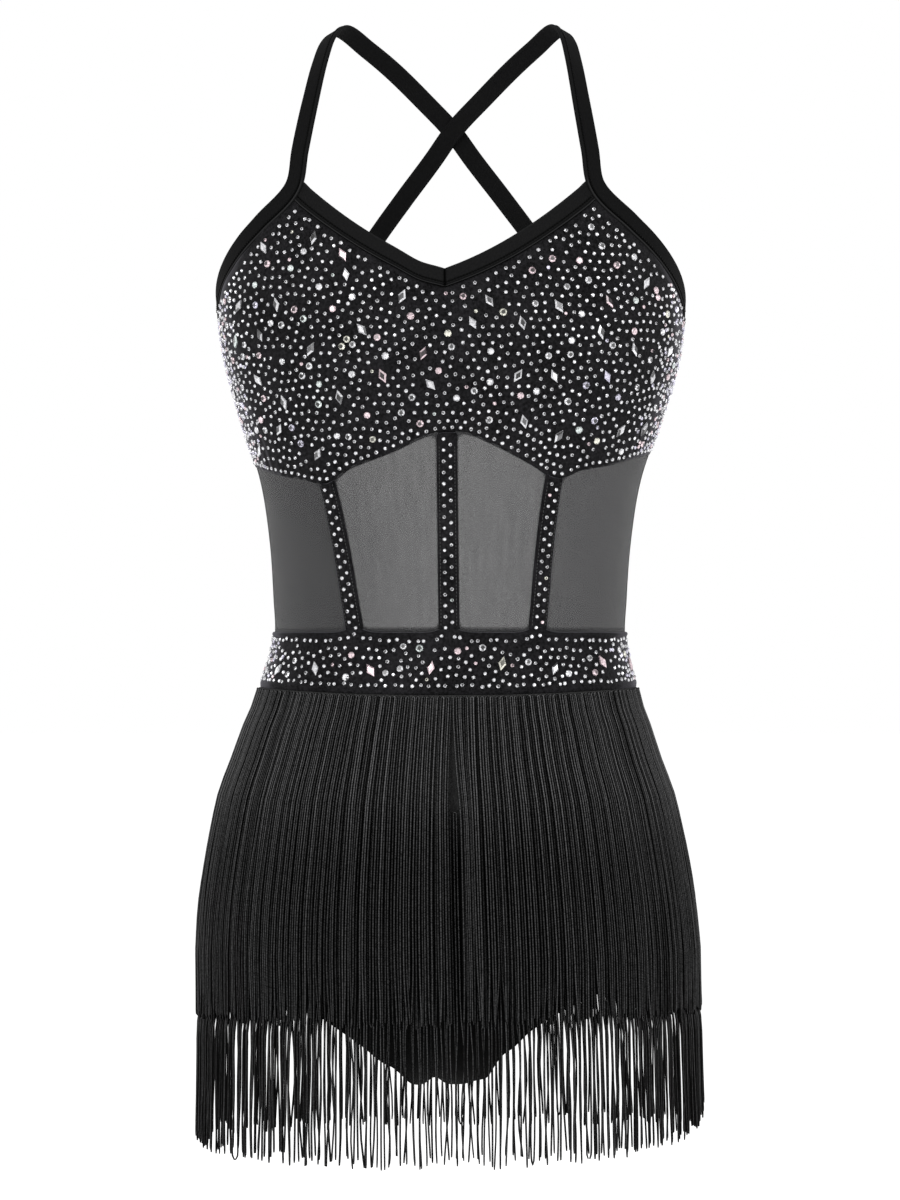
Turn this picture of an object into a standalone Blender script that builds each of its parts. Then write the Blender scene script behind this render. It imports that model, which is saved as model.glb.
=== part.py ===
"""Latin dance dress: a strapped leotard with a sheer waist, crossed back straps and two tiers of fringe.

The dress keeps the hollow form it has when worn. Metres, +Z up, the front faces -Y, and the
wearer's left is +X. The origin is between the shoulders, level with the tops of the straps.
Every panel is an open grid laid on one worn form and given its wall by Solidify, so that
neighbours meet edge to edge with a small seam gap.
"""

import math

import bmesh
import bpy
import numpy as np
from mathutils import Vector

# ---------------------------------------------------------------- sizes
SEAM_GAP = 0.0003
SIDE_GAP = 0.0003  # from the side seam to each piece that ends there
BODICE_WALL = 0.0014
MESH_WALL = 0.0010
STRIP_WALL = 0.0016
BAND_WALL = 0.0016
BRIEF_WALL = 0.0012
BINDING_WALL = 0.0018
BINDING_WIDTH = 0.0090
STRAP_WIDTH = 0.0108
BINDING_PROUD = 0.0003
FRINGE_WALL = 0.0030

SIDE_ANGLE = math.radians(90)
FULLNESS = 0.12  # how much fuller than an ellipse a section is between front and side

# The worn form: one row for each level, from the shoulders to the widest part of the hips.
FORM_COLUMNS = ("height", "half_width", "front_depth", "back_depth")
FORM_ROWS = (
    (-0.060, 0.1170, 0.0700, 0.0640),
    (-0.090, 0.1225, 0.0775, 0.0740),
    (-0.120, 0.1265, 0.0840, 0.0820),
    (-0.150, 0.1287, 0.0885, 0.0870),
    (-0.183, 0.1251, 0.0915, 0.0880),
    (-0.216, 0.1160, 0.0895, 0.0850),
    (-0.249, 0.1053, 0.0825, 0.0780),
    (-0.282, 0.1000, 0.0770, 0.0710),
    (-0.315, 0.0976, 0.0742, 0.0665),
    (-0.334, 0.0968, 0.0738, 0.0660),
    (-0.365, 0.1043, 0.0780, 0.0725),
    (-0.398, 0.1128, 0.0822, 0.0830),
    (-0.425, 0.1190, 0.0842, 0.0905),
    (-0.453, 0.1247, 0.0855, 0.0960),
    (-0.480, 0.1290, 0.0862, 0.0982),
    (-0.505, 0.1312, 0.0862, 0.0985),
)

# The seam under the bust, and the leg edges of the brief.
EDGE_COLUMNS = ("degrees_round_the_form", "height")
UNDERBUST_SIDE_HEIGHT = -0.2390
UNDERBUST_ROWS = (
    (0.0, -0.2262),
    (5.0, -0.2268),
    (10.7, -0.2305),
    (16.5, -0.2360),
    (22.8, -0.2415),
    (29.4, -0.2465),
    (36.5, -0.2508),
    (43.0, -0.2468),
    (51.4, -0.2436),
    (60.9, -0.2412),
    (90.0, UNDERBUST_SIDE_HEIGHT),
)
LEG_FRONT_ROWS = (
    (13.2, -0.5810),
    (15.0, -0.5690),
    (19.4, -0.5600),
    (23.6, -0.5505),
    (28.1, -0.5430),
    (39.5, -0.5270),
    (51.0, -0.5160),
    (67.0, -0.5060),
    (90.0, -0.4990),
)
LEG_BACK_ROWS = (
    (13.2, -0.5810),
    (18.0, -0.5770),
    (25.0, -0.5720),
    (35.0, -0.5620),
    (48.0, -0.5470),
    (62.0, -0.5300),
    (76.0, -0.5130),
    (90.0, -0.4990),
)

# The neckline's upper edge: a V whose sides curve up to the straps.
NECK_V_HEIGHT = -0.1390
NECK_SLOPE = 0.344
NECK_CURVE = 3.71  # per metre

# The middle of the armhole binding falls steadily from the strap to the side seam.
ARMHOLE_START_ANGLE = math.radians(46)
ARMHOLE_START_HEIGHT = -0.1030
ARMHOLE_SIDE_HEIGHT = -0.1580

# The back's upper edge falls from the side seam to the middle of the back, and its lower edge rises.
BACK_SIDE_HEIGHT = -0.1535
BACK_MIDDLE_HEIGHT = -0.1730
BACK_FOOT_MIDDLE_HEIGHT = -0.2185

# A strap's middle line on the -X side, from the top of the bodice over the shoulder to the back.
# Each row is x, y, z.
STRAP_CROSSING = (0.0, 0.0690, -0.0506)
STRAP_ROUTE = (
    (-0.0810, -0.0612, -0.0920),
    (-0.0780, -0.0565, -0.0733),
    (-0.0730, -0.0460, -0.0450),
    (-0.0687, -0.0310, -0.0217),
    (-0.0656, -0.0170, -0.0092),
    (-0.0600, 0.0040, -0.0012),
    (-0.0459, 0.0320, -0.0088),
    (-0.0335, 0.0480, -0.0180),
    (-0.0168, 0.0610, -0.0334),
    STRAP_CROSSING,
    (0.0113, 0.0740, -0.0659),
    (0.0285, 0.0790, -0.0881),
    (0.0480, 0.0800, -0.1150),
    (0.0640, 0.0780, -0.1420),
    (0.0790, 0.0745, -0.1740),
)
SHOULDER_DEPTH = 0.005  # the strap faces away from a line this far behind the middle
SHOULDER_HEIGHT = -0.075  # and this low, or level with the strap where that is lower
STRAP_SWERVE = 0.0011  # each strap steps aside by this much where they cross
STRAP_SWERVE_REACH = 0.028
ROUTE_STEPS = 400
FRAME_REACH = 0.002  # the strap's direction is taken over this length each way
STRAP_START_REACH = 0.030  # the side seam lies within this of the route's start
STRAP_END_REACH = 0.040  # and the back binding within this of its end
SEAM_REACH = 0.140  # the bodice borders the strap's inner edge up to here
SEAM_STEP = 0.004

# The boning strips run down the mesh, in front.
STRIP_TOP_ANGLE = math.radians(36.5)
STRIP_BOTTOM_ANGLE = math.radians(31.9)
STRIP_TOP_HEIGHT = -0.2508
SIDE_STRIP_WIDTH = 0.0105
MIDDLE_STRIP_WIDTH = 0.0108

# The waistband, with a low peak where each strip meets it.
BAND_TOP_HEIGHT = -0.3335
BAND_PEAK = 0.0028
BAND_PEAK_REACH = math.radians(4.2)
BAND_BOTTOM_HEIGHT = -0.3640
BAND_DIP = 0.0030

# The brief closes under the body between its widest level and the crotch.
TURN_HEIGHT = -0.490
CROTCH_HEIGHT = -0.581
CROTCH_FORM_HALF_WIDTH = 0.070

# The fringe: each tier lies on the hips and hangs straight down from their widest part.
UPPER_FRINGE_END = -0.5400
UPPER_LEVELS = (-0.5400, -0.5100, -0.4800, -0.4500, -0.4270, -0.4150, -0.4020, -0.3880)
STEP_START = -0.3900  # the upper tier rises over the head of the lower one, from here
STEP_END = -0.4270  # to here
LOWER_FRINGE_START = -0.4300
LOWER_FRINGE_END = -0.6150
LOWER_LEVELS = (-0.5700, -0.5350, -0.5000, -0.4750, -0.4520)
LOWER_FRINGE_SIDE_RISE = 0.0070
FRINGE_FLARE = 0.0050
FRINGE_CLEARANCE = 0.0009  # between the fringe and what it hangs over
FRINGE_SIDE_GAP = 0.0007

# How many faces each panel has, across and up.
FACES = {
    "bodice_front": (30, 7),
    "bodice_back": (20, 4),
    "neck_binding": (12, 1),
    "back_binding": (24, 1),
    "strap": (56, 1),
    "mesh_centre": (7, 5),
    "mesh_side": (8, 5),
    "mesh_back": (20, 5),
    "strip": (2, 6),
    "waistband_front": (28, 2),
    "waistband_back": (20, 2),
}
BRIEF_ROWS = 12
FRINGE_COLUMNS = 20

# Where a panel's corners are first looked for, and how often the search is repeated.
SEARCH_START = -0.3000
SEARCH_STEPS = 12
HALVINGS = 30


# ---------------------------------------------------------------- curves and the worn form
def smooth(keys, values, at):
    """The value at a place on a smooth curve through (key, value) pairs, held level past its ends."""
    keys = np.asarray(keys, float)
    values = np.asarray(values, float)
    if keys[0] > keys[-1]:
        keys = keys[::-1]
        values = values[::-1]
    at = min(max(at, keys[0]), keys[-1])
    steps = np.diff(keys)
    slopes = np.diff(values) / steps
    inner = (slopes[1:] * steps[:-1] + slopes[:-1] * steps[1:]) / (steps[1:] + steps[:-1])
    bends = np.concatenate([slopes[:1], inner, slopes[-1:]])
    i = min(max(int(np.searchsorted(keys, at)) - 1, 0), len(steps) - 1)
    s = (at - keys[i]) / steps[i]
    rise = values[i + 1] - values[i]
    return (
        values[i]
        + rise * s * s * (3 - 2 * s)
        + steps[i] * s * (1 - s) * (bends[i] * (1 - s) - bends[i + 1] * s)
    )


def ease(t):
    """A soft step from 0 to 1."""
    t = min(max(t, 0.0), 1.0)
    return t * t * (3 - 2 * t)


def column(columns, rows, name):
    """One named column of a table."""
    at = columns.index(name)
    return [row[at] for row in rows]


def form_sizes(height):
    """The form's half width, front depth and back depth at a height."""
    heights = column(FORM_COLUMNS, FORM_ROWS, "height")
    return [smooth(heights, column(FORM_COLUMNS, FORM_ROWS, name), height) for name in FORM_COLUMNS[1:]]


def ring_point(angle, height, half_width, front_depth, back_depth):
    """A point of one section. Angle 0 is the middle of the front, and it grows towards +X."""
    depth = front_depth if math.cos(angle) > 0 else back_depth
    fuller = 1 + FULLNESS * math.sin(angle) ** 2
    return Vector((half_width * math.sin(angle), -depth * math.cos(angle) * fuller, height))


def form_point(angle, height, out=0.0):
    """A point on the worn form, moved out by a distance."""
    half_width, front_depth, back_depth = form_sizes(height)
    return ring_point(angle, height, half_width + out, front_depth + out, back_depth + out)


def table_height(rows, angle):
    """A seam's height at an angle, from a table for one half of the front or of the back."""
    turned = math.degrees(math.asin(min(abs(math.sin(angle)), 1.0)))
    return smooth(column(EDGE_COLUMNS, rows, EDGE_COLUMNS[0]), column(EDGE_COLUMNS, rows, "height"), turned)


def spread_angle(height, width):
    """The angle that a width takes on the front of the form."""
    half_width, front_depth, _ = form_sizes(height)
    return width / (0.5 * (half_width + front_depth))


# ---------------------------------------------------------------- edges
def neck_edge(angle):
    """The neckline's upper edge at an angle."""
    height = NECK_V_HEIGHT
    for _ in range(SEARCH_STEPS):
        across = abs(form_point(angle, height).x)
        height = NECK_V_HEIGHT + NECK_SLOPE * across + NECK_CURVE * across**2
    return height


def neck_seam(angle):
    """Where the neck binding ends and the bodice starts."""
    across = abs(form_point(angle, neck_edge(angle)).x)
    slope = NECK_SLOPE + 2 * NECK_CURVE * across
    return neck_edge(angle) - BINDING_WIDTH * math.hypot(1, slope)


def back_line(angle, side_height, middle_height):
    """A level at the side seams that eases to another at the middle of the back. Angles are from 90 to 270 degrees."""
    share = 1 - abs(abs(angle) - math.pi) / SIDE_ANGLE
    return side_height + (middle_height - side_height) * math.sin(share * math.pi / 2)


def back_edge(angle):
    """The back's upper edge."""
    return back_line(angle, BACK_SIDE_HEIGHT, BACK_MIDDLE_HEIGHT)


def back_seam(angle):
    """Where the back binding ends and the back bodice starts."""
    return back_edge(angle) - BINDING_WIDTH


def back_foot(angle):
    """The seam between the back bodice and the mesh."""
    return back_line(angle, UNDERBUST_SIDE_HEIGHT, BACK_FOOT_MIDDLE_HEIGHT)


def underbust(angle):
    """The seam between the bust and the mesh, in front."""
    return table_height(UNDERBUST_ROWS, angle)


def strip_angle(height):
    """The middle of the +X boning strip at a height."""
    share = (height - BAND_TOP_HEIGHT) / (STRIP_TOP_HEIGHT - BAND_TOP_HEIGHT)
    return STRIP_BOTTOM_ANGLE + share * (STRIP_TOP_ANGLE - STRIP_BOTTOM_ANGLE)


def band_top(angle):
    """The waistband's upper edge, with a peak at each strip."""
    peaks = (0.0, STRIP_BOTTOM_ANGLE, -STRIP_BOTTOM_ANGLE)
    lift = sum(math.exp(-(((angle - peak) / BAND_PEAK_REACH) ** 2)) for peak in peaks)
    return BAND_TOP_HEIGHT + BAND_PEAK * lift


def band_bottom(angle):
    """The waistband's lower edge, which dips a little at the middle of the front."""
    return BAND_BOTTOM_HEIGHT - BAND_DIP * max(math.cos(angle), 0.0) ** 2


def level(height):
    """An edge that stays at one height."""
    return lambda _: height


def moved(edge, distance):
    """The same edge, moved up by a distance."""
    return lambda angle: edge(angle) + distance


def side_limit(side, middle=0.0, gap=SIDE_GAP):
    """The front's or back's end at a side seam, just short of it, as an angle at a height."""

    def limit(height):
        short = gap / (form_sizes(height)[1] * (1 + FULLNESS))
        return middle + side * (SIDE_ANGLE - short)

    return limit


def strip_side(strip, width, side):
    """A side of a strip (-1, 0 or 1 from right to left), or of the mesh by it, as an angle at a height."""
    return lambda height: strip * strip_angle(height) + side * spread_angle(height, width / 2)


# ---------------------------------------------------------------- making pieces
def fabric(name, colour, roughness):
    """A plain cloth material."""
    material = bpy.data.materials.new(name)
    material.use_nodes = True
    shader = material.node_tree.nodes["Principled BSDF"]
    shader.inputs["Base Color"].default_value = (*colour, 1.0)
    shader.inputs["Roughness"].default_value = roughness
    shader.inputs["Metallic"].default_value = 0.0
    return material


def cloth(name, faces, place, wall, material):
    """A grid of (across, up) faces, each corner where place(u, v) says, with a wall on its inner side."""
    sheet = bmesh.new()
    bmesh.ops.create_grid(sheet, x_segments=faces[0], y_segments=faces[1], size=0.5)
    for corner in sheet.verts:
        corner.co = place(corner.co.x + 0.5, corner.co.y + 0.5)
    mesh = bpy.data.meshes.new(name)
    sheet.to_mesh(mesh)
    sheet.free()
    mesh.materials.append(material)
    mesh.shade_smooth()
    piece = bpy.data.objects.new(name, mesh)
    dress.objects.link(piece)
    shell = piece.modifiers.new("wall", "SOLIDIFY")
    shell.thickness = wall
    shell.offset = -1
    return piece


def patch(left, right, lower, upper, out=0.0):
    """A panel of the form between two side edges and two level edges."""

    def place(u, v):
        height = SEARCH_START
        for _ in range(SEARCH_STEPS):
            angle = left(height) * (1 - u) + right(height) * u
            height = lower(angle) * (1 - v) + upper(angle) * v
        return form_point(angle, height, out)

    return place


def strap_route():
    """The -X armhole binding's and strap's middle line, finely spaced, with its lengths so far."""
    route = []
    for share in np.linspace(-1 / 6, 5 / 6, 7):  # from just behind the side seam
        angle = SIDE_ANGLE + share * (ARMHOLE_START_ANGLE - SIDE_ANGLE)
        height = ARMHOLE_SIDE_HEIGHT + share * (ARMHOLE_START_HEIGHT - ARMHOLE_SIDE_HEIGHT)
        route.append(form_point(-angle, height, -BINDING_WALL / 2 + BINDING_PROUD))
    route += [Vector(row) for row in STRAP_ROUTE]
    along = lengths_along(route)
    stations = np.linspace(0, along[-1], ROUTE_STEPS)
    fine = [Vector([smooth(along, [p[i] for p in route], s) for i in range(3)]) for s in stations]
    return lengths_along(fine), fine


def lengths_along(points):
    """The length of a line of points up to each of them."""
    steps = [(after - before).length for before, after in zip(points, points[1:])]
    return np.concatenate([[0.0], np.cumsum(steps)])


def strap_frame(distance):
    """(the middle, the way along, the way across, the outward way) at a distance along the strap."""
    lengths, points = ROUTE
    middle, before, after = (
        Vector([float(np.interp(distance + step, lengths, [p[i] for p in points])) for i in range(3)])
        for step in (0.0, -FRAME_REACH, FRAME_REACH)
    )
    along = (after - before).normalized()
    inside = Vector((0.5 * middle.x, SHOULDER_DEPTH, min(middle.z, SHOULDER_HEIGHT)))
    face = middle - inside
    face = (face - along * face.dot(along)).normalized()
    return middle, along, face.cross(along), face


def strap_edge(distance, width):
    """A point of the strap's middle layer, a width to one side of its middle line."""
    middle, _, across, _ = strap_frame(distance)
    return middle + across * width


def where(test, low, high):
    """The distance between two others at which a test stops being true."""
    for _ in range(HALVINGS):
        centre = 0.5 * (low + high)
        low, high = (centre, high) if test(centre) else (low, centre)
    return low


def strap_start(width):
    """Where an edge of the armhole binding leaves the side seam."""
    return where(lambda distance: strap_edge(distance, width).y > -SIDE_GAP, 0.0, STRAP_START_REACH)


def strap_end(width):
    """Where an edge of the strap meets the back binding."""

    def above(distance):
        point = strap_edge(distance, width)
        return point.z > back_edge(form_angle(point)) + 3 * SEAM_GAP

    return where(above, ROUTE[0][-1] - STRAP_END_REACH, ROUTE[0][-1])


def form_angle(point):
    """The angle round the form at which a point lies."""
    _, front_depth, back_depth = form_sizes(point.z)
    depth = front_depth if point.y < 0 else back_depth
    return math.atan2(point.x / form_sizes(point.z)[0], -point.y / depth)


def strap_place(side):
    """A strap's outer face. side is -1 for the wearer's right strap, which passes outside."""

    def place(u, v):
        width = (v - 0.5 if side < 0 else 0.5 - v) * STRAP_WIDTH
        distance = strap_start(width) * (1 - u) + strap_end(width) * u
        middle, _, across, face = strap_frame(distance)
        away = (middle - Vector(STRAP_CROSSING)).length
        swerve = -side * STRAP_SWERVE * math.exp(-((away / STRAP_SWERVE_REACH) ** 2))
        point = middle + across * width + face * (BINDING_WALL / 2 + swerve)
        return Vector((-side * point.x, point.y, point.z))

    return place


def strap_seam():
    """The armhole binding's inner edge, less its gap, as (angles, heights)."""
    angles = []
    heights = []
    for distance in np.arange(0.0, SEAM_REACH, SEAM_STEP):
        edge = strap_edge(distance, -(STRAP_WIDTH / 2 + 1.5 * SEAM_GAP))
        angles.append(min(abs(form_angle(edge)), SIDE_ANGLE))
        heights.append(edge.z)
    return angles, heights


ROUTE = strap_route()
SEAM_ANGLES, SEAM_HEIGHTS = strap_seam()


def armhole_seam(angle):
    """The height of the bodice's armhole edge at an angle."""
    return float(np.interp(abs(angle), SEAM_ANGLES[::-1], SEAM_HEIGHTS[::-1]))


def armhole_limit(side):
    """The end of the neck binding against the strap, as an angle at a height."""
    return lambda height: side * float(np.interp(height, SEAM_HEIGHTS, SEAM_ANGLES))


def bodice_top(angle):
    """The bodice's upper edge: below the neck binding, then below the armhole binding."""
    return min(neck_seam(angle) - 2 * SEAM_GAP, armhole_seam(angle))


def mitre_limit(side):
    """The neck binding's end at the middle of the front."""
    return lambda height: side * 0.5 * SEAM_GAP / form_sizes(height)[0]


# ---------------------------------------------------------------- brief
def brief_point(angle, height):
    """A point of the brief. Below the turn its sections close in under the body."""
    if height >= TURN_HEIGHT:
        return form_point(angle, height)
    half_width, front_depth, back_depth = form_sizes(TURN_HEIGHT)
    drop = (TURN_HEIGHT - height) / (TURN_HEIGHT - CROTCH_HEIGHT)
    open_share = math.sqrt(max(1 - min(drop, 1.0) ** 2, 0.0))
    half_width = CROTCH_FORM_HALF_WIDTH + (half_width - CROTCH_FORM_HALF_WIDTH) * open_share
    return ring_point(angle, height, half_width, front_depth * open_share, back_depth * open_share)


def brief_columns(leg_rows):
    """The angles of the brief's columns: three across half the crotch, then one for each leg row."""
    crotch = math.radians(leg_rows[0][0])
    half = [0.0, crotch / 2] + [math.radians(row[0]) for row in leg_rows]
    half[-1] = side_limit(1)(BAND_BOTTOM_HEIGHT)
    return [-angle for angle in half[:0:-1]] + half


def brief_place(leg_rows, middle, top):
    """Half of the brief. Its columns fall from the waistband to the crotch or to a leg edge."""
    columns = brief_columns(leg_rows)
    depth = form_sizes(TURN_HEIGHT)[1 if middle == 0 else 2]

    def place(u, v):
        angle = columns[round(u * (len(columns) - 1))]
        reach = (TURN_HEIGHT - table_height(leg_rows, angle)) / (TURN_HEIGHT - CROTCH_HEIGHT)
        lowest_turn = min(math.asin(min(reach, 1.0)), math.acos(SEAM_GAP / depth))
        straight = top(angle + middle) - TURN_HEIGHT
        down = (1 - v) * (straight + depth * lowest_turn)
        if down <= straight:
            return brief_point(angle + middle, top(angle + middle) - down)
        height = TURN_HEIGHT - (TURN_HEIGHT - CROTCH_HEIGHT) * math.sin((down - straight) / depth)
        return brief_point(angle + middle, height)

    return place


# ---------------------------------------------------------------- fringe
def upper_lift(height):
    """How many layers out the upper tier's outer face lies: two where it covers the lower tier."""
    return 1 + ease((STEP_START - height) / (STEP_START - STEP_END))


def lower_lift(_):
    return 1.0


def lower_end(angle):
    """The lower tier's end, which is a little higher at the sides."""
    return LOWER_FRINGE_END + LOWER_FRINGE_SIDE_RISE * math.sin(angle) ** 2


def fringe_place(middle, levels, lift):
    """Half a tier of fringe, as the plain wall that its strands fill. Each level is a height at an angle."""
    side = side_limit(1, 0.0, FRINGE_SIDE_GAP)(TURN_HEIGHT)

    def place(u, v):
        angle = middle + side * (2 * u - 1)
        height = levels[round(v * (len(levels) - 1))](angle)
        loose = max(0.0, (UPPER_FRINGE_END - height) / (UPPER_FRINGE_END - LOWER_FRINGE_END))
        out = lift(height) * (FRINGE_CLEARANCE + FRINGE_WALL) + FRINGE_FLARE * loose
        return form_point(angle, height, out)

    return place


# ---------------------------------------------------------------- the dress
def make_bodice(velvet):
    """The bust panel and the plain back panel."""
    front = patch(side_limit(-1), side_limit(1), moved(underbust, SEAM_GAP), bodice_top)
    cloth("bodice_front", FACES["bodice_front"], front, BODICE_WALL, velvet)
    sides = side_limit(-1, math.pi), side_limit(1, math.pi)
    back = patch(*sides, moved(back_foot, SEAM_GAP), moved(back_seam, -SEAM_GAP))
    cloth("bodice_back", FACES["bodice_back"], back, BODICE_WALL, velvet)


def make_bindings(binding):
    """The two neck bindings, which meet in a mitre, the back binding and the two straps."""
    for name, side in (("right", -1), ("left", 1)):
        inner, outer = mitre_limit(side), armhole_limit(side)
        limits = (outer, inner) if side < 0 else (inner, outer)
        place = patch(*limits, neck_seam, neck_edge, BINDING_PROUD)
        cloth(f"neck_binding_{name}", FACES["neck_binding"], place, BINDING_WALL, binding)
        cloth(f"strap_{name}", FACES["strap"], strap_place(side), BINDING_WALL, binding)
    back = patch(side_limit(-1, math.pi), side_limit(1, math.pi), back_seam, back_edge, BINDING_PROUD)
    cloth("back_binding", FACES["back_binding"], back, BINDING_WALL, binding)


def make_mesh_panels(mesh):
    """Four sheer panels in front, between the strips, and one across the back."""
    lower, upper = moved(band_top, SEAM_GAP), moved(underbust, -SEAM_GAP)
    beside = SIDE_STRIP_WIDTH + 3 * SEAM_GAP
    beside_middle = MIDDLE_STRIP_WIDTH + 3 * SEAM_GAP
    for name, side in (("right", -1), ("left", 1)):
        near = strip_side(0, beside_middle, side)
        far = strip_side(side, beside, -side)
        limits = (far, near) if side < 0 else (near, far)
        cloth(f"mesh_centre_{name}", FACES["mesh_centre"], patch(*limits, lower, upper), MESH_WALL, mesh)
        near, far = strip_side(side, beside, side), side_limit(side)
        limits = (far, near) if side < 0 else (near, far)
        cloth(f"mesh_side_{name}", FACES["mesh_side"], patch(*limits, lower, upper), MESH_WALL, mesh)
    sides = side_limit(-1, math.pi), side_limit(1, math.pi)
    back = patch(*sides, level(BAND_TOP_HEIGHT + SEAM_GAP), moved(back_foot, -SEAM_GAP))
    cloth("mesh_back", FACES["mesh_back"], back, MESH_WALL, mesh)


def make_strips(velvet):
    """The three strips over the boning, a little proud of the mesh."""
    lower, upper = moved(band_top, SEAM_GAP), moved(underbust, -SEAM_GAP)
    strips = (
        ("strip_right", -1, SIDE_STRIP_WIDTH),
        ("strip_middle", 0, MIDDLE_STRIP_WIDTH),
        ("strip_left", 1, SIDE_STRIP_WIDTH),
    )
    for name, strip, width in strips:
        limits = strip_side(strip, width, -1), strip_side(strip, width, 1)
        cloth(name, FACES["strip"], patch(*limits, lower, upper, BINDING_PROUD), STRIP_WALL, velvet)


def make_waistband(velvet):
    """The waistband's front and back."""
    bands = (("waistband_front", 0.0, band_top), ("waistband_back", math.pi, level(BAND_TOP_HEIGHT)))
    for name, middle, top in bands:
        limits = side_limit(-1, middle), side_limit(1, middle)
        place = patch(*limits, band_bottom, moved(top, -SEAM_GAP), BINDING_PROUD)
        cloth(name, FACES[name], place, BAND_WALL, velvet)


def make_brief(jersey):
    """The brief's front and back, which meet at the sides and under the body."""
    top = moved(band_bottom, -2 * SEAM_GAP)
    for name, leg_rows, middle in (("front", LEG_FRONT_ROWS, 0.0), ("back", LEG_BACK_ROWS, math.pi)):
        faces = len(brief_columns(leg_rows)) - 1, BRIEF_ROWS
        cloth(f"brief_{name}", faces, brief_place(leg_rows, middle, top), BRIEF_WALL, jersey)


def make_fringe(fringe):
    """Two tiers of fringe, each in a front and a back length."""
    upper = [level(height) for height in UPPER_LEVELS] + [moved(band_bottom, -SEAM_GAP)]
    lower = [lower_end] + [level(height) for height in LOWER_LEVELS] + [level(LOWER_FRINGE_START)]
    for name, middle in (("front", 0.0), ("back", math.pi)):
        tiers = (("upper", upper, upper_lift), ("lower", lower, lower_lift))
        for tier, levels, lift in tiers:
            faces = FRINGE_COLUMNS, len(levels) - 1
            place = fringe_place(middle, levels, lift)
            cloth(f"fringe_{tier}_{name}", faces, place, FRINGE_WALL, fringe)


for old in list(bpy.data.objects):
    bpy.data.objects.remove(old)
dress = bpy.data.collections.new("latin_dance_dress")
bpy.context.scene.collection.children.link(dress)

velvet = fabric("black_velvet", (0.010, 0.010, 0.011), 0.85)
make_bodice(velvet)
make_bindings(fabric("black_binding", (0.012, 0.012, 0.012), 0.75))
make_mesh_panels(fabric("black_power_mesh", (0.050, 0.050, 0.052), 0.80))
make_strips(velvet)
make_waistband(velvet)
make_brief(fabric("black_jersey", (0.010, 0.010, 0.011), 0.80))
make_fringe(fabric("black_fringe", (0.014, 0.014, 0.015), 0.65))
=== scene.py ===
"""Looks of the latin dance dress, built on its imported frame. Metres, +Z up, the front faces -Y.

Every cloth panel is a thin shell on the worn form, the bindings and straps are cloth wrapped
round an edge, and the fringe is made of single strands. Stones are set by rule, from seeds.
"""
import math

import bpy
import numpy as np
from mathutils import Matrix


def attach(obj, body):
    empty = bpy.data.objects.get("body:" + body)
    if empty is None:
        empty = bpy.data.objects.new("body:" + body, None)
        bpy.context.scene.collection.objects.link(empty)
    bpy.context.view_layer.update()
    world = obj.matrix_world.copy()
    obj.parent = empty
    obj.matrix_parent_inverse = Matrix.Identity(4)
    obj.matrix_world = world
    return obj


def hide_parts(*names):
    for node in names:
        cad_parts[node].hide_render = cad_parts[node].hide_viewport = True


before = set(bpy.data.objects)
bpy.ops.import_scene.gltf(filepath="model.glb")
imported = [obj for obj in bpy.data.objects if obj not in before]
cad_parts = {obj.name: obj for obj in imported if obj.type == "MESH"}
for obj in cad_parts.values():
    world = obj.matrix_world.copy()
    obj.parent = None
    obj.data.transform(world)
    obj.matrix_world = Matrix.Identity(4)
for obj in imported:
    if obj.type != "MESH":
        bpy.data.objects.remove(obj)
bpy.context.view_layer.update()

# ---------------------------------------------------------------- sizes
FULLNESS = 0.12  # how much fuller a section is between front and side
SIDE = math.radians(90)
# The worn form: height, half width, front depth, back depth.
FORM = np.array((
    (-0.060, 0.1170, 0.0700, 0.0640), (-0.090, 0.1225, 0.0775, 0.0740),
    (-0.120, 0.1265, 0.0840, 0.0820), (-0.150, 0.1287, 0.0885, 0.0870),
    (-0.183, 0.1251, 0.0915, 0.0880), (-0.216, 0.1160, 0.0895, 0.0850),
    (-0.249, 0.1053, 0.0825, 0.0780), (-0.282, 0.1000, 0.0770, 0.0710),
    (-0.315, 0.0976, 0.0742, 0.0665), (-0.334, 0.0968, 0.0738, 0.0660),
    (-0.365, 0.1043, 0.0780, 0.0725), (-0.398, 0.1128, 0.0822, 0.0830),
    (-0.425, 0.1190, 0.0842, 0.0905), (-0.453, 0.1247, 0.0855, 0.0960),
    (-0.480, 0.1290, 0.0862, 0.0982), (-0.505, 0.1312, 0.0862, 0.0985),
))
# Seams as (degrees round the form, height).
UNDERBUST = np.array((
    (-90.0, -0.2420), (-76.0, -0.2437), (-65.6, -0.2463), (-56.0, -0.2487), (-48.6, -0.2504), (-41.0, -0.2527),
    (-37.2, -0.2530), (-33.9, -0.2503), (-30.3, -0.2464), (-24.0, -0.2421), (-18.7, -0.2390), (-12.1, -0.2342),
    (-8.6, -0.2311), (-5.2, -0.2285), (-1.9, -0.2269), (1.3, -0.2265), (4.6, -0.2269), (7.9, -0.2281),
    (11.3, -0.2309), (18.4, -0.2369), (26.3, -0.2439), (33.6, -0.2501), (36.2, -0.2502), (38.5, -0.2490),
    (42.5, -0.2461), (46.4, -0.2449), (55.1, -0.2428), (65.9, -0.2394), (76.0, -0.2368), (90.0, -0.2355),
))
LEG_FRONT = np.array((
    (13.2, -0.5810), (15.0, -0.5715), (19.4, -0.5635), (23.6, -0.5540), (28.1, -0.5462),
    (39.5, -0.5298), (51.0, -0.5178), (67.0, -0.5065), (90.0, -0.4990),
))
LEG_BACK = np.array((
    (13.2, -0.5810), (18.0, -0.5745), (25.0, -0.5650), (35.0, -0.5500), (48.0, -0.5340),
    (62.0, -0.5205), (76.0, -0.5085), (90.0, -0.4990),
))
NECK_DROP, NECK_SLOPE, NECK_CURVE = -0.139, 0.344, 3.71  # the V's point, and how its sides rise
BINDING_WIDTH = 0.0090
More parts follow.
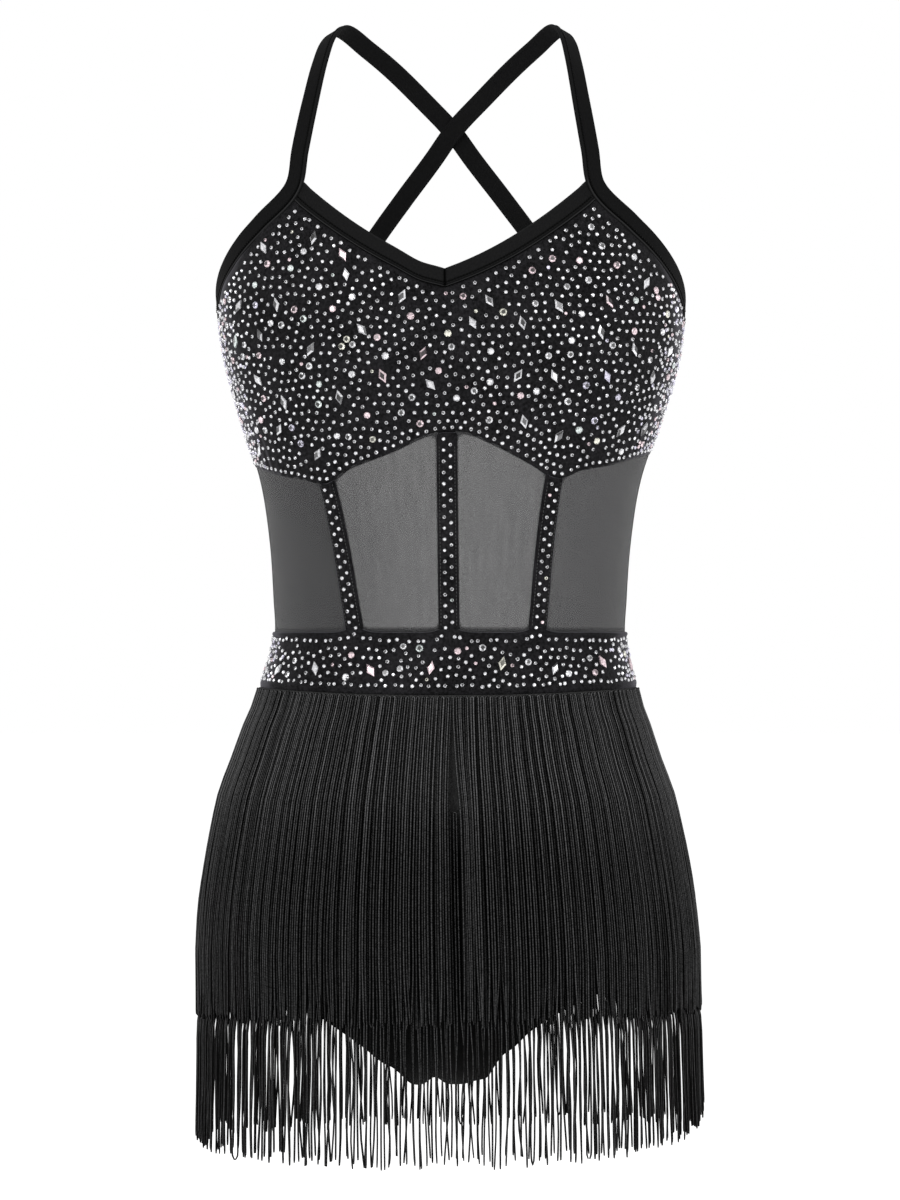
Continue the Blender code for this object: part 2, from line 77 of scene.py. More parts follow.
BINDING_WALL = 0.0018
STRAP_WIDTH = 0.0108
PROUD = 0.0003  # how far bindings, strips and band stand off the form
TUCK = 0.0040  # how far the bodice runs up inside its bindings
GAP = 0.0003  # between a panel's edge and its seam
GROOVE = 0.220  # where a binding's stitched groove lies, as a share of its width
STRAP_GROOVE = 0.0024  # where a strap's lies, from the edge near the neck
LOOP_RINGS = 5  # of the half circle in which two strands join over the heading
SIDES = ("right", -1), ("left", 1)  # the wearer's
# The -X strap's middle line, from the top of the bodice over the shoulder to the back.
STRAP_CROSSING = np.array((0.0, 0.0690, -0.0506))
STRAP_ROUTE = np.array((
    (-0.0810, -0.0612, -0.0920), (-0.0780, -0.0565, -0.0733), (-0.0730, -0.0460, -0.0450),
    (-0.0687, -0.0310, -0.0217), (-0.0656, -0.0170, -0.0092), (-0.0600, 0.0040, -0.0012),
    (-0.0459, 0.0320, -0.0088), (-0.0335, 0.0480, -0.0180), (-0.0168, 0.0610, -0.0334),
    STRAP_CROSSING, (0.0113, 0.0740, -0.0659), (0.0285, 0.0790, -0.0881),
    (0.0480, 0.0800, -0.1150), (0.0640, 0.0780, -0.1420), (0.0790, 0.0745, -0.1740),
))
STRIP_HEAD, STRIP_FOOT = -0.2508, -0.3335
STRIPS = {-1: (-37.8, -30.3), 0: (0.65, 1.25), 1: (33.6, 30.7)}  # degrees at the head and the foot
STRIP_WIDTH = 0.0099
STRIP_SEAM = STRIP_WIDTH / 2 * 0.74  # how far from a strip's middle its stitches run
BAND_FOOT = -0.3640
TURN, CROTCH = -0.490, -0.581  # where the brief starts to close in, and where it ends
CROTCH_HALF_WIDTH = 0.070
FRINGE_HEAD, FRINGE_FOOT = -0.4284, -0.6130  # the lower tier
HANG_FREE = -0.520  # where the fringe leaves the hips
# Stitches: pitch, length, thickness.
BINDING_STITCH = 0.0017, 0.0009, 0.00095
STRIP_STITCH = 0.0019, 0.0012, 0.00034
HEM_STITCH = 0.0024, 0.0016, 0.00036
# The camera: its turn round Z, how far off it stands, its height, and the height of what it sees.
TURNED, EYE_AWAY, EYE_HEIGHT, SEEN = math.radians(2.0), 2.5, -0.315, 0.66
FLOOR = -0.80
# How the dress hangs off true, as (height, sway towards +X, tilt up towards +X).
HANG = np.array((
    (-0.610, -0.0002, 0.020), (-0.560, -0.0005, 0.014), (-0.520, -0.0010, 0.010), (-0.480, -0.0017, 0.006),
    (-0.440, -0.0020, 0.003), (-0.400, -0.0021, 0.0), (-0.372, -0.0014, 0.0), (-0.340, -0.0002, 0.0),
    (-0.300, 0.0, 0.0), (-0.240, 0.0003, 0.0), (-0.190, 0.0010, 0.0), (-0.140, 0.0002, 0.0),
    (-0.100, -0.0006, 0.0), (0.0, -0.0006, 0.0),
))


# ---------------------------------------------------------------- curves and lines
def smooth(keys, values, at):
    """A smooth curve through (key, value) pairs: a cubic between neighbours, whose slope at each key is the
    mean of the two chords there weighted by the other's length, held level past both ends."""
    keys, values = np.asarray(keys, float), np.asarray(values, float)
    if keys[0] > keys[-1]:
        keys, values = keys[::-1], values[::-1]
    at = np.clip(at, keys[0], keys[-1])
    steps = np.diff(keys)
    slopes = np.diff(values) / steps
    inner = (slopes[1:] * steps[:-1] + slopes[:-1] * steps[1:]) / (steps[1:] + steps[:-1])
    bends = np.concatenate([slopes[:1], inner, slopes[-1:]])
    i = np.clip(np.searchsorted(keys, at) - 1, 0, len(steps) - 1)
    s = (at - keys[i]) / steps[i]
    rise = values[i + 1] - values[i]
    return values[i] + rise * s * s * (3 - 2 * s) + steps[i] * s * (1 - s) * (bends[i] * (1 - s) - bends[i + 1] * s)


def ease(t):
    """A soft step: three t squared less two t cubed, held at 0 and 1."""
    t = np.clip(t, 0.0, 1.0)
    return t * t * (3 - 2 * t)


def bell(t):
    """A soft bump: e to the minus t squared."""
    return np.exp(-np.square(t))


def unit(vectors):
    """Vectors divided by their own length."""
    return vectors / np.maximum(np.linalg.norm(vectors, axis=-1, keepdims=True), 1e-12)


def lengths(points, axis=0):
    """How far each point of a line, or of each line of a grid, lies from its first: the steps between, summed."""
    steps = np.linalg.norm(np.diff(points, axis=axis), axis=-1)
    return np.concatenate([0 * np.take(steps, [0], axis), np.cumsum(steps, axis)], axis)


def points_at(at, along, line):
    """Points of a line at lengths along it, each on the straight between its neighbours."""
    return np.stack([np.interp(at, along, line[..., k]) for k in range(3)], -1)


def turns(count):
    """Angles that share out a whole turn evenly."""
    return np.arange(count) * 2 * math.pi / count


# ---------------------------------------------------------------- the worn form
def form_sizes(height):
    """The half width, front depth and back depth at a height, each a smooth curve through the table."""
    return [smooth(FORM[:, 0], FORM[:, k], height) for k in (1, 2, 3)]


def ring(angle, height, half, front, back):
    """A section: x is the half width times the sine of the angle, and y is minus the depth times its cosine, made
    fuller by a share of the sine squared."""
    depth = np.where(np.cos(angle) > 0, front, back)
    y = -depth * np.cos(angle) * (1 + FULLNESS * np.sin(angle) ** 2)
    return np.stack(np.broadcast_arrays(half * np.sin(angle), y, height), -1)


def form(angle, height, out=0.0):
    """The worn form, moved out. Angle 0 is the middle of the front and grows towards +X."""
    half, front, back = form_sizes(height)
    return ring(angle, height, half + out, front + out, back + out)


def form_angle(points):
    """The angle round the form at which points lie."""
    half, front, back = form_sizes(points[..., 2])
    depth = np.where(points[..., 1] < 0, front, back)
    return np.arctan2(points[..., 0] / half, -points[..., 1] / depth)


def form_normal(angle, height):
    """The outward way: across the tangents round and up the form."""
    step = 1e-4
    round_it = form(angle + step, height) - form(angle - step, height)
    up = form(angle, height + step) - form(angle, height - step)
    return unit(np.cross(round_it, up))


# ---------------------------------------------------------------- seams
def seam_height(rows, angle):
    """A seam's height at an angle, the same on both halves."""
    turned = np.degrees(np.arcsin(np.clip(np.abs(np.sin(angle)), 0, 1)))
    return smooth(rows[:, 0], rows[:, 1], turned)


def neck_edge(angle):
    """The neckline: a V whose height is a quadratic of the way across, with a little sag on one side."""
    height = NECK_DROP + 0 * angle
    for _ in range(12):
        across = form(angle, height)[..., 0]
        sag = 0.0013 * bell((across + 0.0135) / 0.0085)
        height = NECK_DROP + NECK_SLOPE * np.abs(across) + NECK_CURVE * across**2 - sag
    return height


def neck_seam(angle):
    """The neck binding's lower edge: its width below the neckline, along the slope."""
    across = np.abs(form(angle, neck_edge(angle))[..., 0])
    return neck_edge(angle) - BINDING_WIDTH * np.hypot(1, NECK_SLOPE + 2 * NECK_CURVE * across)


def back_line(angle, side, middle):
    """A level at the side seams that eases as a sine to another at the middle of the back."""
    share = 1 - np.abs(np.abs(angle) - math.pi) / SIDE
    return side + (middle - side) * np.sin(share * math.pi / 2)


def back_edge(angle):
    """The upper edge of the back."""
    return back_line(angle, -0.1535, -0.1730)


def back_foot(angle):
    """The seam between the back bodice and the mesh, tilted by the cube of the sine."""
    return back_line(angle, -0.23875, -0.2185) + 0.00325 * np.sin(angle) ** 3


def back_seam(angle):
    """The back binding's lower edge."""
    return back_edge(angle) - BINDING_WIDTH


def underbust(angle):
    """The seam under the bust: a smooth curve through its table."""
    return smooth(UNDERBUST[:, 0], UNDERBUST[:, 1], np.degrees(angle))


def strip_angle(strip, height):
    """The middle of a boning strip leans steadily from its head to its foot."""
    head, foot = np.radians(STRIPS[strip])
    return foot + (height - STRIP_FOOT) / (STRIP_HEAD - STRIP_FOOT) * (head - foot)


def band_top(angle):
    """The waistband's upper edge, with a low peak at each strip."""
    peaks = sum(bell((angle - strip_angle(strip, STRIP_FOOT)) / math.radians(4.2)) for strip in STRIPS)
    return STRIP_FOOT + 0.0012 + 0.0028 * peaks


def band_foot(angle):
    """The waistband's lower edge, which dips in front by the cosine squared."""
    return BAND_FOOT + 0.0016 - 0.0031 * np.maximum(np.cos(angle), 0.0) ** 2


def level(height):
    """A line at one height."""
    return lambda angle: height + 0 * angle


def beyond(line, gap):
    """A line moved up by a gap."""
    return lambda angle: line(angle) + gap


def side_end(side, middle=0.0):
    """The end of a front or back piece, a gap short of the side seam."""
    return lambda height: middle + side * (SIDE - GAP / (form_sizes(height)[0] * (1 + FULLNESS)))


def side_ends(middle=0.0):
    """Both ends of a front piece, or of a back one, whose middle is half a turn round."""
    return side_end(-1, middle), side_end(1, middle)


def strip_side(strip, side, width):
    """A line a width to one side of a strip's middle."""

    def line(height):
        """The width as an angle: divided by the mean of the half width and the depth."""
        half, front, _ = form_sizes(height)
        return strip_angle(strip, height) + side * width / (0.5 * (half + front))

    return line


# ---------------------------------------------------------------- the straps' route
def strap_line():
    """The -X strap's middle line, finely spaced: the armhole binding climbs steadily from the side seam,
    then a smooth curve runs through the route's points."""
    share = np.linspace(-1 / 6, 5 / 6, 7)
    foot, rise, front = -0.158, 0.055, math.radians(46)
    climb = form(-(SIDE + share * (front - SIDE)), foot + share * rise, -BINDING_WALL / 2 + PROUD)
    route = np.concatenate([climb, STRAP_ROUTE])
    along = lengths(route)
    at = np.linspace(0, along[-1], 400)
    line = np.stack([smooth(along, route[:, k], at) for k in range(3)], -1)
    return lengths(line), line


STRAP_LENGTHS, STRAP_LINE = strap_line()


def strap_frame(distance):
    """(middle, along, across, face) at distances along the strap: it faces away from a line inside the body, which
    runs a little further out and higher where the strap is free of the bodice."""
    middle, before, after = (points_at(distance + step, STRAP_LENGTHS, STRAP_LINE) for step in (0.0, -0.002, 0.002))
    along = unit(after - before)
    x, _, z = np.moveaxis(middle, -1, 0)
    free = ease((z + 0.105) / 0.040)
    inside = np.stack([(0.5 + 0.12 * free) * x, 0 * distance + 0.005, np.minimum(z, -0.075 + 0.035 * free)], -1)
    face = middle - inside
    face = unit(face - along * (face * along).sum(-1, keepdims=True))
    return middle, along, np.cross(face, along), face


def strap_ends(width):
    """Where an edge of the strap leaves the side seam, and where it meets the back binding."""
    near = np.linspace(0, 0.030, 600)
    far = np.linspace(STRAP_LENGTHS[-1] - 0.040, STRAP_LENGTHS[-1], 800)
    first, last = (middle + across * width for middle, _, across, _ in map(strap_frame, (near, far)))
    meets = last[:, 2] <= back_edge(form_angle(last)) + 0.0009
    return near[np.argmax(first[:, 1] <= -GAP)], far[np.argmax(meets)]


def strap_point(side, distance, width, depth=0.0):
    """A point of a strap: a width across it and a depth into it. The wearer's right strap, side -1, swerves
    outwards where the two cross, and the left one inwards."""
    middle, _, across, face = strap_frame(distance)
    swerve = -side * 0.0011 * bell(np.linalg.norm(middle - STRAP_CROSSING, axis=-1) / 0.028)
    width, depth = np.broadcast_arrays(width, depth)
    point = middle + across * width[..., None] + face * (BINDING_WALL / 2 + swerve - depth)[..., None]
    return point * (-side, 1, 1)


def armhole_table():
    """The armhole binding's inner edge, as (angles, heights)."""
    at = np.arange(0.0, 0.140, 0.002)
    middle, _, across, _ = strap_frame(at)
    edge = middle - across * (STRAP_WIDTH / 2 + 0.00045)
    return np.minimum(np.abs(form_angle(edge)), SIDE), edge[:, 2]


ARMHOLE_ANGLES, ARMHOLE_HEIGHTS = armhole_table()


def bodice_top(angle):
    """The bodice's upper edge: the lower of the neck seam and the armhole seam."""
    arm = np.interp(np.abs(angle), ARMHOLE_ANGLES[::-1], ARMHOLE_HEIGHTS[::-1])
    return np.minimum(neck_seam(angle) - 0.0006, arm)


# ---------------------------------------------------------------- meshes
def new_piece(name, points, faces, material, slot, nodes=(), uv=None, flat_shaded=False, **tones):
    """A mesh from points and faces of any size, with a UV and any number of values for each vertex. It rides on
    the one body and hides the CAD parts it stands for. Its slot is not used."""
    mesh = bpy.data.meshes.new(name)
    sizes = np.concatenate([np.full(len(f), f.shape[1]) for f in faces])
    corners = np.concatenate([f.ravel() for f in faces]).astype(np.int32)
    mesh.vertices.add(len(points))
    mesh.vertices.foreach_set("co", hang(points).astype(np.float32).ravel())
    mesh.loops.add(len(corners))
    mesh.loops.foreach_set("vertex_index", corners)
    mesh.polygons.add(len(sizes))
    mesh.polygons.foreach_set("loop_start", (np.cumsum(sizes) - sizes).astype(np.int32))
    if uv is not None:
        mesh.uv_layers.new(name="cut").data.foreach_set("uv", np.asarray(uv, np.float32)[corners].ravel())
    for tone, values in tones.items():
        kind, key = ("FLOAT_COLOR", "color") if np.ndim(values) == 2 else ("FLOAT", "value")
        mesh.attributes.new(tone, kind, "POINT").data.foreach_set(key, np.asarray(values, np.float32).ravel())
    mesh.update()
    mesh.validate()
    mesh.polygons.foreach_set("use_smooth", np.full(len(mesh.polygons), not flat_shaded))
    mesh.materials.append(material)
    piece = bpy.data.objects.new(name, mesh)
    bpy.context.scene.collection.objects.link(piece)
    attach(piece, "root")
    if nodes:
        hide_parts(*nodes)
    return piece


def hang(points):
    """The dress hangs a little off true: each level is moved sideways and tilted by smooth curves of height."""
    sway, tilt = (smooth(HANG[:, 0], HANG[:, k], points[:, 2]) for k in (1, 2))
    return points + np.stack([sway, 0 * sway, tilt * points[:, 0]], -1)


def grid_faces(rows, columns, start=0, wrap=False):
    """Quads of a grid of points, counterclockwise when columns run right and rows run up."""
    across = columns if wrap else columns - 1
    r, c = np.meshgrid(np.arange(rows - 1), np.arange(across), indexing="ij")
    a, b = r * columns + c, r * columns + (c + 1) % columns
    return np.stack([a, b, b + columns, a + columns], -1).reshape(-1, 4) + start


def grid_normals(grid):
    """The outward way at each point of a grid: across its two tangents."""
    return unit(np.cross(np.gradient(grid, axis=1), np.gradient(grid, axis=0)))


def grid_uv(grid):
    """Lengths in metres: along the middle row, and up each column from its foot."""
    across, up = lengths(grid[len(grid) // 2]), lengths(grid)
    return np.stack([np.broadcast_to(across - across.mean(), up.shape), up], -1)


def tube_uv(grid):
    """Lengths in metres round a fold and along the strip."""
    return np.stack([lengths(grid, 1), lengths(grid)], -1).reshape(-1, 2)


def copied(faces, copies, points):
    """The same faces for each of several copies that have this many points."""
    starts = (np.arange(copies) * points)[:, None, None]
    return [(kind + starts).reshape(-1, kind.shape[1]) for kind in faces]


def carried(local, centre, x, y, z):
    """Local points carried to every centre: each is the centre and its shares of the three directions there."""
    return centre[:, None] + local[..., :1] * x[:, None] + local[..., 1:2] * y[:, None] + local[..., 2:] * z[:, None]


def shell(name, outer, wall, material, slot, nodes=(), **tones):
    """A thin wall under a grid of outer points: an inner grid one wall in, and a round rim between the two."""
    rows, columns = outer.shape[:2]
    inner = outer - grid_normals(outer) * wall
    count = rows * columns
    index = np.arange(count).reshape(rows, columns)
    rim = np.concatenate([index[0, :-1], index[:-1, -1], index[-1, :0:-1], index[:0:-1, 0]])
    flat_outer, flat_inner = outer.reshape(-1, 3), inner.reshape(-1, 3)
    edge, under = flat_outer[rim], flat_inner[rim]
    along = unit(np.roll(edge, -1, 0) - np.roll(edge, 1, 0))
    middle = 0.5 * (edge + under) + np.cross(along, unit(edge - under)) * wall * 0.45
    ends = np.roll(rim, -1)
    turn = np.arange(len(rim)) + 2 * count
    after = np.roll(turn, -1)
    faces = [
        grid_faces(rows, columns),
        grid_faces(rows, columns, count)[:, ::-1],
        np.stack([rim, turn, after, ends], -1),
        np.stack([turn, rim + count, ends + count, after], -1),
    ]
    uv = grid_uv(outer).reshape(-1, 2)
    pick = np.concatenate([np.arange(count), np.arange(count), rim])
    tones = {tone: np.asarray(values).reshape(count, *np.shape(values)[2:])[pick] for tone, values in tones.items()}
    points = np.concatenate([flat_outer, flat_inner, middle])
    return new_piece(name, points, faces, material, slot, nodes, uv[pick], **tones)


def panel(ends, lower, upper, columns, rows):
    """(angles, heights, u, v) of a panel of the form between two side lines and two level lines. The sides depend
    on the height and the levels on the angle, so each is worked out from the other, over and over."""
    left, right = ends
    u, v = np.meshgrid(np.linspace(0, 1, columns + 1), np.linspace(0, 1, rows + 1))
    height = np.full(u.shape, -0.30)
    for _ in range(12):
        angle = left(height) * (1 - u) + right(height) * u
        height = lower(angle) * (1 - v) + upper(angle) * v
    return angle, height, u, v


def noise(seed, *places):
    """A soft wave in -1..1: the mean of four sines whose ways and starts come from the seed."""
    draw = np.random.default_rng(seed)
    total = 0.0
    for _ in range(4):
        ways = draw.normal(size=len(places))
        total = total + np.sin(sum(w * p for w, p in zip(ways, places)) + draw.uniform(0, 2 * math.pi))
    return total / 4


# ---------------------------------------------------------------- materials
def material(name, colour, roughness, **sockets):
    """A material whose even values sit on the shader's own sockets. Returns (material, tree, shader)."""
    made = bpy.data.materials.new(name)
    made.use_nodes = True
    tree = made.node_tree
    shader = tree.nodes["Principled BSDF"]
    sockets = {"Base_Color": (*colour, 1), "Roughness": roughness, **sockets}
    for socket, value in sockets.items():
        shader.inputs[socket.replace("_", " ")].default_value = value
    return made, tree, shader


def give(tree, shader, **values):
    """Links worked-out values to the shader's sockets."""
    for socket, value in values.items():
        tree.links.new(value, shader.inputs[socket.replace("_", " ")])


def node(tree, kind, inputs=(), output=0, **settings):
    """An output of a node with its settings and inputs; an input is a value or another node's output."""
    made = tree.nodes.new("ShaderNode" + kind)
    for key, value in settings.items():
        setattr(made, key, value)
    for key, value in dict(inputs).items():
        if isinstance(value, bpy.types.NodeSocket):
            tree.links.new(value, made.inputs[key])
        else:
            made.inputs[key].default_value = value
    return made.outputs[output]


def place_on_cut(tree, turn=0.0, scale=(1, 1, 1)):
    """The piece's own cut as a place for a pattern, turned by degrees and scaled."""
    cut = node(tree, "UVMap", uv_map="cut")
    return node(tree, "Mapping", {"Vector": cut, "Rotation": (0, 0, math.radians(turn)), "Scale": scale})


def place_on_object(tree, scale=(1, 1, 1)):
    """The piece's own coordinates as a place for a pattern, scaled."""
    return node(tree, "Mapping", {"Vector": node(tree, "TexCoord", output="Object"), "Scale": scale})


def value_of(tree, tone, output="Fac"):
    """A value or colour that the mesh carries for each vertex."""
    return node(tree, "Attribute", output=output, attribute_name=tone)


def noise_on(tree, place, scale, detail=2.0, roughness=0.5):
    """Cloudy noise in 0..1."""
    inputs = {"Vector": place, "Scale": scale, "Detail": detail, "Roughness": roughness}
    return node(tree, "TexNoise", inputs, "Fac")


def waves(tree, place, scale, direction="X", distortion=0.0):
    """Even sine bands in 0..1."""
    inputs = {"Vector": place, "Scale": scale, "Distortion": distortion, "Detail": 1.0}
    return node(tree, "TexWave", inputs, "Fac", bands_direction=direction, wave_profile="SIN")


def math_of(tree, operation, a, b=0.0, c=0.0):
    """One step of arithmetic on values."""
    return node(tree, "Math", {0: a, 1: b, 2: c}, operation=operation)


def weighted(tree, *parts):
    """The sum of values, each multiplied by its weight."""
    *firsts, (value, weight) = parts
    total = math_of(tree, "MULTIPLY", value, weight)
    for value, weight in reversed(firsts):
        total = math_of(tree, "MULTIPLY_ADD", value, weight, total)
    return total


def mix(tree, share, one, other, how="MIX"):
    """A colour between two others, or one multiplied by the other, by a share."""
    return node(tree, "Mix", {0: share, 6: one, 7: other}, 2, data_type="RGBA", blend_type=how)


def ramp(tree, value, low, high, start=0.0, end=1.0):
    """Two colours that a value runs between, from start to end. A single number is a grey."""
    made = node(tree, "ValToRGB", {"Fac": value})
    for stop, colour, position in zip(made.node.color_ramp.elements, (low, high), (start, end)):
        stop.position, stop.color = position, (*np.broadcast_to(colour, 3), 1)
    return made


def remap(tree, value, low, high, start=0.0, end=1.0):
    """A value carried from start..end to low..high."""
    inputs = {"Value": value, "From Min": start, "From Max": end, "To Min": low, "To Max": high}
    return node(tree, "MapRange", inputs)


def bump(tree, shader, height, strength, distance, base=None):
    """Relief from a height, over another relief if there is one."""
    inputs = {"Height": height, "Strength": strength, "Distance": distance}
    if base is not None:
        inputs["Normal"] = base
    made = node(tree, "Bump", inputs)
    give(tree, shader, Normal=made)
    return made


def velvet_cloth():
    """Stretch velvet: a short pile of fine fibres, brushed lighter and darker in soft patches, with a sheen, and
    a lilac-grey sheen painted into its colour towards grazing angles.
    """
    made, tree, shader = material(
        "black_stretch_velvet", (0.004, 0.004, 0.0045), 0.9,
        Sheen_Weight=0.05, Sheen_Roughness=0.35, Sheen_Tint=(0.80, 0.82, 0.90, 1), Specular_IOR_Level=0.07,
    )
    at = place_on_object(tree)
    pile = noise_on(tree, at, 2600)
    brushed = noise_on(tree, at, 45, 3)
    crushed = noise_on(tree, at, 620, 3, 0.6)
    mixed = weighted(tree, (pile, 0.30), (brushed, 0.25), (crushed, 0.45))
    cloth = ramp(tree, mixed, (0.0004, 0.0004, 0.0005), (0.0155, 0.0150, 0.0165), 0.40, 0.66)
    # Painted sheen: the colour turns lilac-grey where the velvet is seen at a grazing angle.
    grazing = remap(tree, node(tree, "LayerWeight", output="Facing"), 0.0, 0.9, 0.55, 1.0)
    painted_sheen = mix(tree, grazing, cloth, (0.075, 0.072, 0.082, 1))
    give(tree, shader, Base_Color=painted_sheen, Roughness=remap(tree, brushed, 0.82, 1.0, 0.3, 0.7))
    soft = bump(tree, shader, brushed, 0.25, 0.0008)
    bump(tree, shader, pile, 0.5, 0.00025, soft)
    return made


def binding_cloth():
    """Matte jersey: fine ribs along the cut and a faint mottle, with painted highlights and painted shade at its
    seams from the value 'seam'.
    """
    made, tree, shader = material("black_jersey_binding", (0.010, 0.010, 0.010), 0.86, Specular_IOR_Level=0.02)
    at = place_on_cut(tree)
    ribs = waves(tree, at, 620, "Y")
    loops = waves(tree, at, 480, "X", 1.5)
    mottle = noise_on(tree, at, 900, 3)
    knit = weighted(tree, (ribs, 0.6), (loops, 0.4))
    mixed = weighted(tree, (knit, 0.4), (mottle, 0.6))
    cloth = ramp(tree, mixed, (0.0040, 0.0040, 0.0041), (0.0095, 0.0095, 0.0097), 0.25, 0.75)
    # The value 'seam' paints light and shade: above 0 it mixes in the painted highlight colour, below 0 painted
    # shade.
    seam = value_of(tree, "seam")
    lit = math_of(tree, "MAXIMUM", seam, 0.0)
    sunk = math_of(tree, "MAXIMUM", math_of(tree, "MULTIPLY", seam, -1.0), 0.0)
    raised = mix(tree, lit, cloth, (0.019, 0.019, 0.0194, 1))
    give(tree, shader, Base_Color=mix(tree, sunk, raised, (0.0004, 0.0004, 0.0004, 1)))
    bump(tree, shader, knit, 0.35, 0.0002)
    return made


def sheer_mesh():
    """Power mesh: fine diagonal bars with air between, denser where the value 'cover' is higher."""
    made, tree, shader = material("black_power_mesh", (0.030, 0.030, 0.031), 0.75, Specular_IOR_Level=0.25)
    bars = waves(tree, place_on_cut(tree, 45), 210)
    ties = waves(tree, place_on_cut(tree, -45), 800)
    streaks = noise_on(tree, place_on_cut(tree, scale=(1, 0.12, 1)), 260)
    dense = value_of(tree, "cover")
    for pattern, depth in ((bars, 0.016), (streaks, 0.10)):
        dense = math_of(tree, "MULTIPLY_ADD", math_of(tree, "SUBTRACT", pattern, 0.5), depth, dense)
    give(
        tree, shader,
        Alpha=math_of(tree, "MINIMUM", math_of(tree, "MAXIMUM", dense, 0.12), 0.97),
        Base_Color=ramp(tree, bars, (0.015, 0.015, 0.016), (0.022, 0.022, 0.023)),
    )
    bump(tree, shader, weighted(tree, (bars, 0.65), (ties, 0.35)), 0.3, 0.0002)
    return made


def brief_cloth():
    """Stretch jersey of the brief: fine wales up the cloth, paler above the hips than on and below them."""
    made, tree, shader = material("black_brief_jersey", (0.004, 0.004, 0.004), 0.85, Specular_IOR_Level=0.02)
    at = place_on_cut(tree)
    wales = waves(tree, at, 700)
    mixed = weighted(tree, (wales, 0.4), (noise_on(tree, at, 500, 3), 0.6))
    height = node(tree, "SeparateXYZ", {"Vector": node(tree, "TexCoord", output="Object")}, "Z")
    # worn is the lighter colour, above the hips, and plain the darker one, on and below them.
    worn, plain = (ramp(tree, mixed, low, high, 0.2, 0.8) for low, high in ((0.008, 0.045), (0.0003, 0.0030)))
    give(tree, shader, Base_Color=mix(tree, remap(tree, height, 0.0, 1.0, -0.450, -0.425), plain, worn))
    bump(tree, shader, wales, 0.35, 0.0002)
    return made


def rayon_fringe():
    """Twisted rayon strands: ply marks wind round each one, and each has its own tone from the value 'tone',
    which also carries painted shade on each strand's sides and lower down, and a painted highlight down its middle.
    """
    made, tree, shader = material("black_rayon_fringe", (0.010, 0.010, 0.010), 0.6, Specular_IOR_Level=0.05)
    plies = waves(tree, place_on_cut(tree), 0.45, "DIAGONAL")
    fibres = noise_on(tree, place_on_object(tree, (1, 1, 0.5)), 1500, 2, 0.6)
    marks = math_of(tree, "MULTIPLY_ADD", plies, 0.22, math_of(tree, "MULTIPLY_ADD", fibres, 1.2, 0.02))
    mixed = math_of(tree, "MULTIPLY", value_of(tree, "tone"), marks)
    cloth = ramp(tree, mixed, 0.0006, (0.1230, 0.1230, 0.1250), 0.16)
    give(tree, shader, Base_Color=cloth, Roughness=remap(tree, plies, 0.48, 0.68))
    bump(tree, shader, plies, 0.4, 0.0002)
    return made


def rhinestone():
    """Foil-backed stones: each facet's tint, and its brightness as a painted reflection, come from the value
    'glint'.
    """
    made, tree, shader = material(
        "rhinestone_gloss", (0.8, 0.8, 0.82), 0.12, Metallic=0.55, Coat_Weight=0.6, Coat_Roughness=0.04,
    )
    cloud = noise_on(tree, place_on_object(tree), 1400, 1)
    clouded = ramp(tree, cloud, (0.55, 0.55, 0.57), (1, 1, 1), 0.35, 0.6)
    shade = mix(tree, 1.0, value_of(tree, "glint", "Color"), clouded, "MULTIPLY")
    give(tree, shader, Base_Color=shade, Roughness=remap(tree, cloud, 0.08, 0.24))
    return made


def stitch_thread(name, shade, gloss):
    """Black thread, with its twist as fine slanted marks."""
    made, tree, shader = material(name, (shade, shade, shade), 0.5, Specular_IOR_Level=gloss)
    twist = waves(tree, place_on_object(tree), 900, "DIAGONAL")
    give(tree, shader, Base_Color=ramp(tree, twist, 0.4 * shade, 1.6 * shade))
    bump(tree, shader, twist, 0.3, 0.0001)
    return made


def pale_floor():
    """A nearly white floor, a little mottled, that glows faintly."""
    made, tree, shader = material(
        "pale_floor", (0.97, 0.97, 0.97), 0.9,
        Specular_IOR_Level=0.0, Emission_Color=(1, 1, 1, 1), Emission_Strength=0.06,
    )
    give(tree, shader, Base_Color=ramp(tree, noise_on(tree, place_on_object(tree), 3.0), 0.965, 0.985))
    return made


VELVET, BINDING, MESH, JERSEY = velvet_cloth(), binding_cloth(), sheer_mesh(), brief_cloth()
FRINGE, STONE = rayon_fringe(), rhinestone()
THREAD = stitch_thread("black_thread", 0.0008, 0.04)
GLOSS_THREAD = stitch_thread("black_gloss_thread", 0.030, 0.35)


# ---------------------------------------------------------------- panels
def cloth_size(grid):
    """A grid of points as a cut laid flat: its length along the widest row and up the tallest column, and its
    area, which is half the cross product of each cell's diagonals, summed."""
    wide, tall = lengths(grid, 1)[:, -1].max(), lengths(grid)[-1].max()
    diagonals = grid[1:, 1:] - grid[:-1, :-1], grid[1:, :-1] - grid[:-1, 1:]
    cells = np.linalg.norm(np.cross(*diagonals), axis=2).sum() / 2
    return float(wide), float(tall), float(min(cells, 0.999 * wide * tall))


def cloth_panel(name, grid, wall, cloth, slot, rests_on=(), **tones):
    """A thin shell over one CAD panel."""
    piece = shell(name + "_cloth", grid, wall, cloth, slot, [name], **tones)
    wide, tall, area = cloth_size(grid)


def bust_relief(angle, height):
    """The hollow between the cups, and the cups, each a soft bump round the form and up it."""
    hollow = -0.0020 * bell(angle / 0.16) * bell((height + 0.195) / 0.034)
    return hollow + 0.0012 * bell((np.abs(angle) - 0.62) / 0.34) * bell((height + 0.192) / 0.030)


